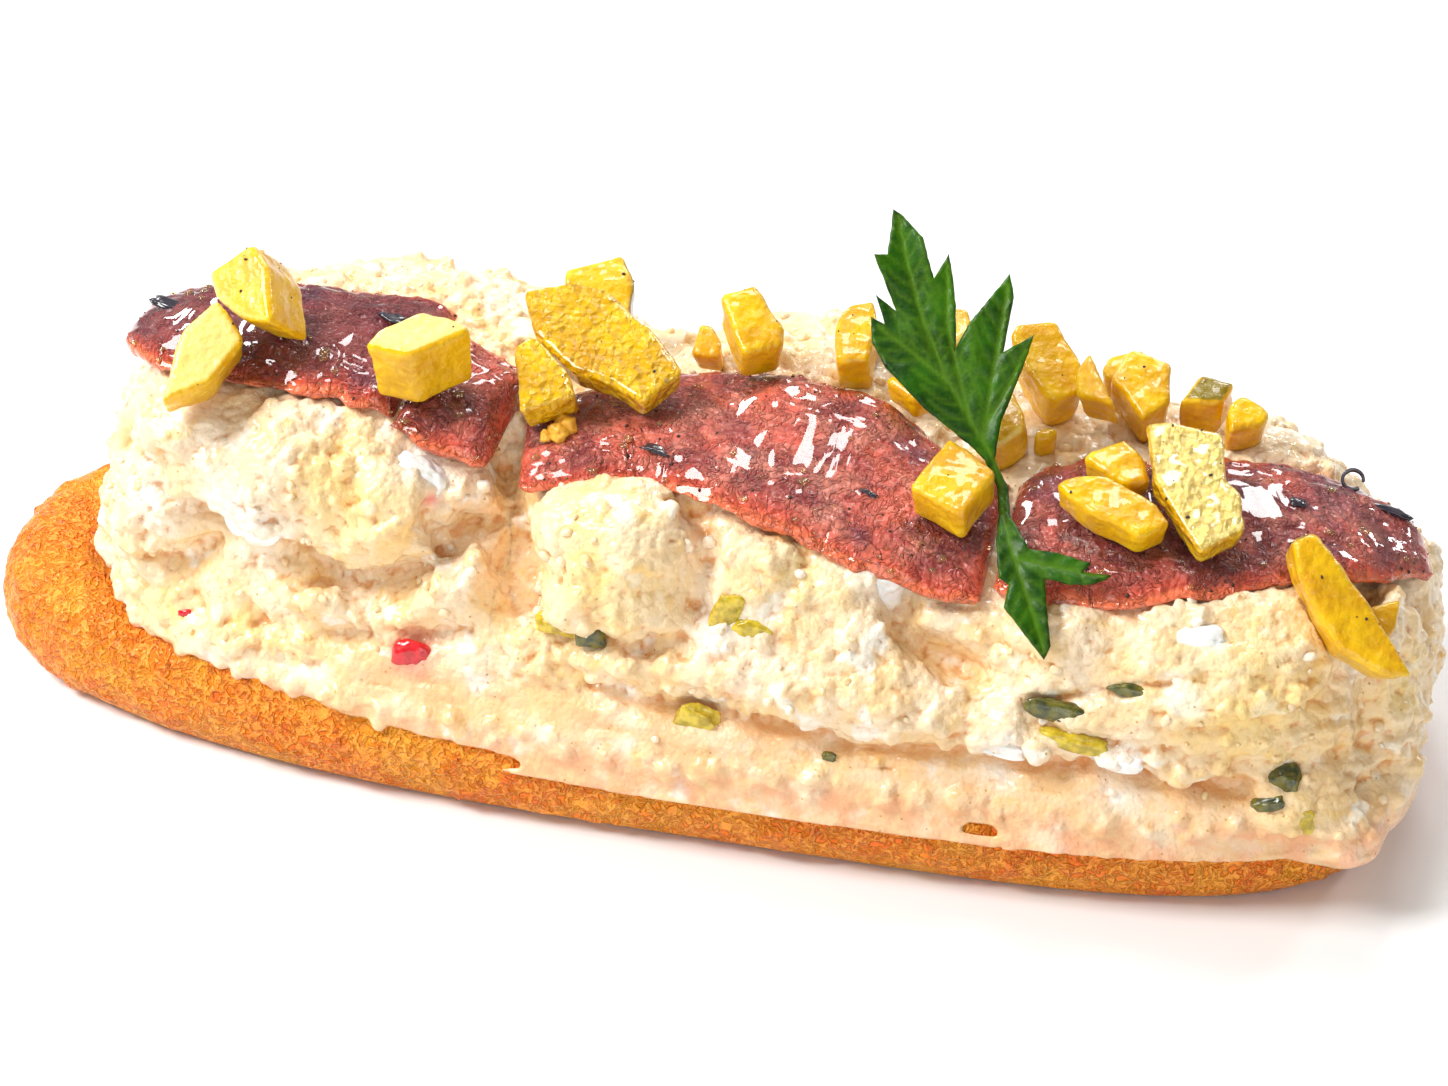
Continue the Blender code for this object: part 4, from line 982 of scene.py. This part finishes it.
anchovy = Finish("cured_anchovy", Specular_IOR_Level=0.3, Coat_Weight=0.85, Coat_Roughness=0.04, Coat_IOR=1.5,
                 Subsurface_Weight=0.22, Subsurface_Scale=0.0012, Subsurface_Radius=(1.0, 0.25, 0.18))
rim = anchovy.attribute("rim")
along_grain = anchovy.node("CombineXYZ", None, {0: anchovy.attribute("along") * MM,
                                               1: anchovy.attribute("across") * MM})
stretched = anchovy.node("Mapping", None, {"Vector": along_grain, "Scale": (0.16, 1.0, 1.0)})
grain = anchovy.noise(0.55, 3.0, place=stretched, distortion=0.3)
blotch = anchovy.step(anchovy.noise(6.0, 3.0, distortion=0.4), 0.40, 0.62)
flesh = anchovy.layered(
    anchovy.mix(blotch, rgb(150, 64, 62), rgb(214, 100, 82)),
    (anchovy.spots(3.6, 3.0, 0.48, 0.70) * 0.7, (226, 140, 118)),
    (anchovy.step(grain, 0.42, 0.66) * 0.2, (232, 158, 132)),
    (anchovy.attribute("dark") * 0.6, (100, 30, 44)),
    (anchovy.spots(9.0, 2.0, 0.54, 0.68) * (1.0 - rim) * 0.6, (98, 48, 72)),
    (rim * (0.5 + 0.5 * anchovy.noise(2.2, 2.0)), (228, 84, 48)),
    (anchovy.step(rim, 0.72, 1.0) * 0.6, (248, 134, 86)),
    # painted shade: dark brown on the fish under and around the dice
    (anchovy.attribute("beside_dice") * 0.5, (70, 18, 10)))
anchovy.drive(Base_Color=flesh, Roughness=0.20 + 0.22 * grain)
pucker = 1.0 - 2.0 * abs(anchovy.noise(1.3, 2.0, distortion=1.2) - 0.5)
pucker = anchovy.step(pucker, 0.84, 0.98) * anchovy.spots(3.5, 2.0, 0.36, 0.52)
wet_faces = anchovy.cells(1.3, distance="CHEBYCHEV") + 0.5 * anchovy.cells(0.7, distance="MANHATTAN")
wrinkles = pucker * 1.8 + wet_faces * 1.4 + anchovy.noise(1.1, 2.0) + 0.12 * grain
anchovy.drive(Normal=anchovy.bump(wrinkles, 0.27))

dice_map = HeightMap(list(cad_gherkins.values())).spread(1)
speck_places = []
fish_tops = {}
for seed, (name, sizes) in enumerate(FILLETS.items()):
    tops = fish_tops[name] = HeightMap([cad_fillets[name]]).spread(5)
    grid, length, reach = fillet_surface(tops=tops, seed=40 + 10 * seed, **sizes)
    share = np.abs(reach) / np.abs(reach).max(axis=1)[:, None]
    relief = fillet_relief(length, reach, share, 41 + 10 * seed)
    normal = np.cross(np.gradient(grid, axis=0), np.roll(grid, -1, axis=1) - np.roll(grid, 1, axis=1))
    normal /= np.maximum(np.linalg.norm(normal, axis=2, keepdims=True), 1e-9)
    outward = np.sign(np.einsum("ijk,ijk->", normal, grid - grid.mean(axis=1, keepdims=True)))
    to_end = np.minimum(length, length.max() - length)
    grid = grid + normal * outward * (relief * smooth_rise(to_end, 0.0, 1.2))[..., None]
    ends = smooth_rise(-to_end, -1.6, -0.2)
    rim_share = np.maximum(smooth_rise(share, 0.72, 0.98), 0.8 * ends)
    # Where the dice stand over the fillet; this paints shade there.
    beside_dice = np.isfinite(dice_map.at(grid[..., 0], grid[..., 1])).astype(float)
    strip = closed_strip(name + "_flesh", grid, rim=rim_share, along=length, across=reach,
                         beside_dice=beside_dice, dark=np.full_like(length, FILLET_DARKNESS[name]))
    speck_places.append(grid[:, 8:FILLET_ROUND // 2 - 8].reshape(-1, 3))
    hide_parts(name)

# ---------------------------------------------------------------------------------------
# Gherkin pieces.  Pickled gherkin cut into dice and slices with a knife: glassy yellow
# flesh, olive skin on some sides, and pale sides that are part cut flesh, part painted light.

# Sides that carry skin, and pale sides (paler cut flesh with painted light on the sides facing the lamps), as
# outward directions
GHERKIN_SKIN = {
    "gherkin_22": (0.0, 0.5, 0.8), "gherkin_23": (-0.3, 0.7, 0.6), "gherkin_25": (-0.6, 0.2, 0.8),
    "gherkin_05": (0.9, 0.0, 0.2), "gherkin_14": (0.9, 0.3, 0.1), "gherkin_20": (0.2, 0.0, 0.9),
}
GHERKIN_PALE = {
    "gherkin_02": (-0.8, -0.5, 0.2), "gherkin_01": (-0.2, -0.5, 0.85), "gherkin_04": (-0.1, 0.1, 0.98),
    "gherkin_24": (0.1, -0.4, 0.9), "gherkin_12": (0.0, -0.8, 0.5), "gherkin_15": (0.2, -0.9, 0.3),
}
GHERKIN_CRACKLED = ("gherkin_06", "gherkin_07", "gherkin_24")
GHERKIN_GRAIN = 0.26            # size of the finished mesh

gherkin = Finish("pickled_gherkin", Specular_IOR_Level=0.35, Coat_Roughness=0.05, Coat_IOR=1.45,
                 Subsurface_Weight=0.4, Subsurface_Scale=0.0022, Subsurface_Radius=(1.0, 0.8, 0.08))
pulp = gherkin.layered(
    gherkin.mix(gherkin.spots(3.5, 3.0, 0.35, 0.65), rgb(214, 158, 0), rgb(234, 186, 0)),
    (gherkin.spots(1.3, 3.0, 0.52, 0.72) * 0.4, (246, 208, 34)),
    # partly painted light: paler on the sides turned to the lamps, and on cut flesh
    (gherkin.attribute("pale") * (0.65 + 0.5 * gherkin.noise(2.0)), (250, 222, 132)),
    (gherkin.attribute("skin") * 0.9, (120, 106, 12)),
    (gherkin.attribute("edge") * 0.4, (196, 136, 0)))
cracked = gherkin.attribute("crackle")
glassy_faces = gherkin.cells(1.5, place=gherkin.wandering(600.0, 0.0012), distance="CHEBYCHEV")
glassy_faces = glassy_faces + 0.6 * gherkin.cells(0.9, distance="MANHATTAN")
gherkin.drive(Base_Color=pulp, Roughness=0.22 + 0.2 * gherkin.noise(1.0, 2.0), Coat_Weight=0.5 + 0.4 * cracked)
gherkin.drive(Normal=gherkin.bump(glassy_faces * (0.8 + 4.0 * cracked) + gherkin.noise(0.7, 3.0), 0.17))


def toward(normals, direction, low, high):
    """How far each normal points along the direction, from 0 at low to 1 at high."""
    if direction is None:
        return np.zeros(len(normals))
    aim = np.array(direction) / np.linalg.norm(direction)
    return smooth_rise(normals @ aim, low, high)


for index, name in enumerate(GHERKIN_NODES):
    points, quads = skin(*cad_gherkins[name], GHERKIN_GRAIN)
    edges = quad_edges(quads)
    points = relaxed(points, edges, 1)
    sharp = np.linalg.norm(relaxed(points, edges, 5) - points, axis=1)
    normals = quad_normals(points, quads)
    push = 0.16 * soft_noise(points, 2.4, 60 + index) + 0.07 * soft_noise(points, 0.9, 61)
    points = points + normals * push[:, None]
    dice = piece(name + "_flesh", points, quads, gherkin, "gherkin",
                 skin=toward(normals, GHERKIN_SKIN.get(name), 0.75, 0.92),
                 # pale: cut flesh together with painted light on the sides that face the lamps
                 pale=toward(normals, GHERKIN_PALE.get(name), 0.7, 0.92),
                 edge=smooth_rise(sharp, 0.05, 0.16),
                 crackle=np.full(len(points), float(name in GHERKIN_CRACKLED)))
    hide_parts(name)
    speck_places.append(points[normals[:, 2] > 0.2][::6])

# ---------------------------------------------------------------------------------------
# Parsley sprig.  A flat-leaf sprig of three toothed lobes on a short stalk, and a small
# leaf below it; it droops over the front edge and leans back against the dice.

SPRIG_DROOP = ((-24.5, 23.6), (-21.0, 27.8), (-18.5, 30.2), (-16.0, 31.6), (-12.0, 32.8), (-9.5, 33.6))
SPRIG_RISE_DEGREES = 50.0
SPRIG_RISE = 24.6
SPRIG_OUTLINE = (
    (32.7, 0.0), (33.4, -3.0), (35.8, -6.7), (38.7, -6.8), (41.5, -7.3), (40.9, -8.1), (43.4, -8.2),
    (42.0, -9.2), (40.0, -9.5), (37.7, -9.2), (39.1, -15.2), (38.8, -16.4), (35.9, -13.6), (34.6, -12.4),
    (34.7, -10.3), (33.7, -9.8), (32.9, -6.3), (32.5, -3.0), (31.8, 0.0),
    (30.3, 2.4), (28.4, 3.7), (24.1, 6.3), (20.1, 9.5), (18.4, 11.8), (18.0, 14.0), (19.4, 13.4),
    (18.2, 16.0), (20.2, 14.8), (17.6, 19.6), (18.7, 19.8), (18.5, 24.4), (20.2, 23.0), (21.6, 21.8),
    (23.2, 18.2), (24.2, 20.6), (25.5, 16.0), (26.1, 11.8), (27.0, 14.4), (30.0, 19.5), (30.6, 17.4),
    (30.4, 12.2), (33.0, 14.2), (32.2, 10.5), (31.2, 6.0), (31.1, 2.6),
)
# Main veins, from the stalk outward, in the same flat measures
SPRIG_VEINS = (
    ((32.2, 0.0), (31.0, 2.6), (28.6, 5.4), (25.6, 9.4), (22.6, 14.6), (20.4, 19.6), (19.0, 23.6)),
    ((28.6, 5.4), (26.8, 9.6), (25.0, 14.2), (24.2, 19.8)),
    ((29.8, 4.0), (29.8, 9.0), (29.9, 14.0), (30.0, 18.6)),
    ((30.2, 6.0), (31.6, 10.0), (32.8, 13.6)),
    ((26.0, 8.8), (22.6, 11.0), (18.8, 13.2)),
    ((32.2, 0.0), (32.9, -3.4), (34.6, -7.6), (36.4, -11.0), (38.8, -15.8)),
    ((34.6, -7.6), (38.0, -8.0), (42.8, -8.3)),
)
LEAF_GRAIN = 0.32
LEAF_THICKNESS = 0.32
SIDE_VEIN_STEP = 0.85           # from one side vein to the next, on the other side


def flat_distance(points, line):
    """Distance in the flat shape to a line."""
    raised = np.column_stack([points, np.zeros(len(points))])
    return line_distance(raised, np.column_stack([line, np.zeros(len(line))]))


def leaf_grid():
    """The leaf's flat shape as triangles: its outline in steps of a grain, and a grid of
    inner points, joined by a Delaunay net that keeps to the outline."""
    outline = np.array(SPRIG_OUTLINE)
    rim = []
    for start, end in zip(outline, np.roll(outline, -1, axis=0)):
        shares = np.arange(0.0, 1.0, LEAF_GRAIN / np.linalg.norm(end - start))
        rim.append(start + (end - start) * shares[:, None])
    rim = np.concatenate(rim)
    low, high = outline.min(axis=0), outline.max(axis=0)
    x, y = np.meshgrid(np.arange(low[0], high[0], LEAF_GRAIN), np.arange(low[1], high[1], LEAF_GRAIN))
    x = x + LEAF_GRAIN * 0.5 * (np.arange(len(x)) % 2)[:, None]
    inner = np.stack([x.ravel(), y.ravel()], axis=1)
    inner = inner[flat_distance(inner, np.vstack([rim, rim[:1]])) > 0.55 * LEAF_GRAIN]
    every = [Vector(point) for point in np.concatenate([rim, inner])]
    loop = [(i, (i + 1) % len(rim)) for i in range(len(rim))]
    points, _, faces, *_ = geometry.delaunay_2d_cdt(every, loop, [], 1, 1e-4)
    return np.array([tuple(point) for point in points]), np.array(faces)


def side_veins(line):
    """Short veins that leave a main vein on both sides in turn, at about 45 degrees."""
    line = np.array(line)
    run = run_along(line)
    veins = []
    for number, place in enumerate(np.arange(2.4, run[-1] - 1.0, SIDE_VEIN_STEP)):
        start = on_line(line, run, place)
        ahead = on_line(line, run, place + 0.5) - start
        ahead /= np.linalg.norm(ahead)
        side = np.array([-ahead[1], ahead[0]]) * (1 if number % 2 else -1)
        veins.append((start, start + 1.6 * ahead + 1.5 * side, start + 3.6 * ahead + 2.4 * side))
    return veins


def sprig_curve(lengths):
    """Side view of the sprig: place (y, z) and normal at each length from the stalk."""
    line = np.array(SPRIG_DROOP)
    rise = math.radians(SPRIG_RISE_DEGREES)
    line = np.vstack([line, line[-1] + SPRIG_RISE * np.array([math.cos(rise), math.sin(rise)])])
    run = run_along(line)
    run -= run[-2]
    at = [on_line(line, run, lengths + shift) for shift in (-2.0, -1.0, 0.0, 1.0, 2.0)]
    along = at[4] - at[0]
    along /= np.linalg.norm(along, axis=1, keepdims=True)
    return (at[1] + at[2] + at[3]) / 3.0, np.stack([-along[:, 1], along[:, 0]], axis=1)


flat_points, leaf_faces = leaf_grid()
all_side_veins = [vein for line in SPRIG_VEINS for vein in side_veins(line)]
main_away = np.min([flat_distance(flat_points, np.array(line)) for line in SPRIG_VEINS], axis=0)
side_away = np.min([flat_distance(flat_points, np.array(vein)) for vein in all_side_veins], axis=0)
veins = np.maximum(np.exp(-(main_away / 0.34) ** 2), 0.6 * np.exp(-(side_away / 0.22) ** 2))
puff = 0.30 * np.minimum(main_away, 3.0) + 0.12 * smooth_rise(side_away, 0.0, 0.9)
flat_3d = np.column_stack([flat_points, np.zeros(len(flat_points))])
wave = 0.85 * soft_noise(flat_3d, 5.0, 91) + 0.22 * soft_noise(flat_3d, 2.2, 92)
lift = puff - 0.12 * veins + wave * smooth_rise(main_away, 0.2, 2.5)
place, normal = sprig_curve(flat_points[:, 1])
raised = place + normal * lift[:, None]
leaf_points = np.column_stack([flat_points[:, 0], raised])

parsley = Finish("parsley_leaf", Specular_IOR_Level=0.15, Coat_Weight=0.12, Coat_Roughness=0.2,
                 Subsurface_Weight=0.1, Subsurface_Scale=0.0006)
green = parsley.layered(
    parsley.mix(parsley.spots(4.0, 3.0, 0.35, 0.68), rgb(14, 54, 0), rgb(38, 92, 0)),
    (parsley.spots(0.5, 3.0, 0.4, 0.7) * 0.25, (58, 110, 0)),
    (parsley.attribute("vein") * 0.45, (104, 146, 20)))
parsley.drive(Base_Color=green, Roughness=0.36 + 0.2 * parsley.noise(1.5, 2.0))
parsley.drive(Normal=parsley.bump(parsley.noise(0.28, 3.0), 0.05))
leaf = piece("parsley_leaf", leaf_points, leaf_faces, parsley, "parsley", vein=veins)
wall = leaf.modifiers.new("leaf_thickness", "SOLIDIFY")
wall.thickness = LEAF_THICKNESS * MM
wall.offset = 0.0
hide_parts("parsley_sprig")

# ---------------------------------------------------------------------------------------
# Ground black pepper, shaken over the fish and the gherkins.

SPECKS = 300
pepper = Finish("black_pepper", Roughness=0.5)
pepper.drive(Base_Color=pepper.mix(pepper.noise(0.3), rgb(20, 12, 8), rgb(74, 44, 24)))
every_place = np.concatenate(speck_places)
speck_centres = every_place[rng.choice(len(every_place), SPECKS)]
speck_sizes = (0.07 + 0.14 * rng.random((SPECKS, 1)) ** 2.0) * rng.uniform(0.6, 1.4, (SPECKS, 3))
speck_dips = rng.uniform(-80.0, 80.0, SPECKS)
speck_points, speck_faces = lumps(speck_centres, speck_sizes, speck_dips, rounds=1, unevenness=0.3, seed=95)
piece("pepper_specks", speck_points, speck_faces, pepper, "anchovy")

# ---------------------------------------------------------------------------------------
# Scraps and oil on the fish.  Flakes of dark skin, a curled fin end near the right tip, a
# crumb of boiled yolk, and beads of oil that stand on the wet flesh.

SKIN_SCRAPS = (
    ("anchovy_left", (-39.0, -3.4), (1.7, 0.8, 0.28)), ("anchovy_left", (-50.0, -3.6), (1.3, 0.8, 0.25)),
    ("anchovy_left", (-36.4, -6.6), (0.9, 0.5, 0.2)), ("anchovy_left", (-27.0, -3.0), (1.2, 0.6, 0.2)),
    ("anchovy_middle", (0.5, -12.4), (1.1, 0.5, 0.2)), ("anchovy_middle", (20.4, -12.0), (0.8, 0.4, 0.2)),
    ("anchovy_right", (58.2, -3.4), (0.7, 0.5, 0.2)), ("anchovy_right", (66.2, 1.8), (1.4, 0.5, 0.25)),
)
YOLK_CRUMBS = (
    ("anchovy_middle", (-9.0, -11.4), (0.9, 0.9, 0.8)), ("anchovy_middle", (-8.4, -10.4), (1.0, 0.8, 0.9)),
    ("anchovy_middle", (-9.9, -11.9), (0.6, 0.6, 0.5)),
)
CURL_PLACE = ("anchovy_right", (62.6, 3.4), (0.0, 0.0, 1.0))
CURL_RADIUS = 0.95
CURL_THICKNESS = 0.16
CURL_TURN = 5.4                 # radians of the ring that the curl goes round
CURL_STATIONS = 60
CURL_ROUND = 12
OIL_BEADS = 150


def on_fish(scraps, lift):
    """Places on the fillets' tops, each raised by its share of the scrap's height."""
    return [(*place, float(fish_tops[name].at(*place)) + lift * half[2]) for name, place, half in scraps]


scrap_finish = Finish("dark_fish_skin", Roughness=0.25, Coat_Weight=0.6)
scrap_finish.drive(Base_Color=scrap_finish.mix(scrap_finish.noise(0.6), rgb(14, 12, 18), rgb(64, 56, 70)))
scrap_halves = [scrap[2] for scrap in SKIN_SCRAPS]
scrap_dips = [12.0] * len(SKIN_SCRAPS)
scraps = lumps(on_fish(SKIN_SCRAPS, 0.6), scrap_halves, scrap_dips, rounds=3, unevenness=0.75, seed=96,
               squareness=0.8)
# The curl is a round section carried along most of a leaning ring
around, across = np.meshgrid(np.linspace(0.0, CURL_TURN, CURL_STATIONS),
                             np.linspace(0.0, 2.0 * np.pi, CURL_ROUND, endpoint=False), indexing="ij")
reach = CURL_RADIUS + CURL_THICKNESS * np.cos(across)
curl = np.stack([reach * np.cos(around), 0.5 * reach * np.sin(around),
                 CURL_THICKNESS * np.sin(across) + 0.8 * reach * np.sin(around)], axis=2)
curl = curl + on_fish([CURL_PLACE], 0.9)[0]
curl_quads = grid_quads(CURL_STATIONS, CURL_ROUND, False, True)
curl_faces = np.concatenate([curl_quads[:, :3], curl_quads[:, [0, 2, 3]]])
scrap_points, scrap_faces = joined([scraps, (curl.reshape(-1, 3), curl_faces)])
piece("skin_scraps", scrap_points, scrap_faces, scrap_finish, "anchovy")

yolk_finish = Finish("boiled_yolk", Roughness=0.4, Subsurface_Weight=0.2, Subsurface_Scale=0.001)
yolk_finish.drive(Base_Color=yolk_finish.mix(yolk_finish.noise(0.8), rgb(240, 168, 30), rgb(252, 200, 84)))
yolk_halves = [crumb[2] for crumb in YOLK_CRUMBS]
yolk_points, yolk_faces = lumps(on_fish(YOLK_CRUMBS, 0.5), yolk_halves, [0.0] * len(YOLK_CRUMBS), rounds=4,
                                unevenness=0.35, seed=97)
piece("yolk_crumb", yolk_points, yolk_faces, yolk_finish, "potato_salad")

oil = Finish("oil", Roughness=0.02, Transmission_Weight=0.9, IOR=1.46)
oil.drive(Base_Color=oil.mix(oil.noise(3.0), rgb(255, 236, 190), rgb(250, 214, 150)))
fish_places = np.concatenate(speck_places[:len(FILLETS)])
bead_centres = fish_places[rng.choice(len(fish_places), OIL_BEADS)]
bead_sizes = (0.16 + 0.42 * rng.random((OIL_BEADS, 1)) ** 2.0) * (1.0, 1.0, 0.45)
bead_sizes = bead_sizes * rng.uniform(0.8, 1.3, (OIL_BEADS, 3))
bead_points, bead_faces = lumps(bead_centres, bead_sizes, [0.0] * OIL_BEADS, rounds=2, unevenness=0.12, seed=98)
piece("oil_beads", bead_points, bead_faces, oil, "anchovy")
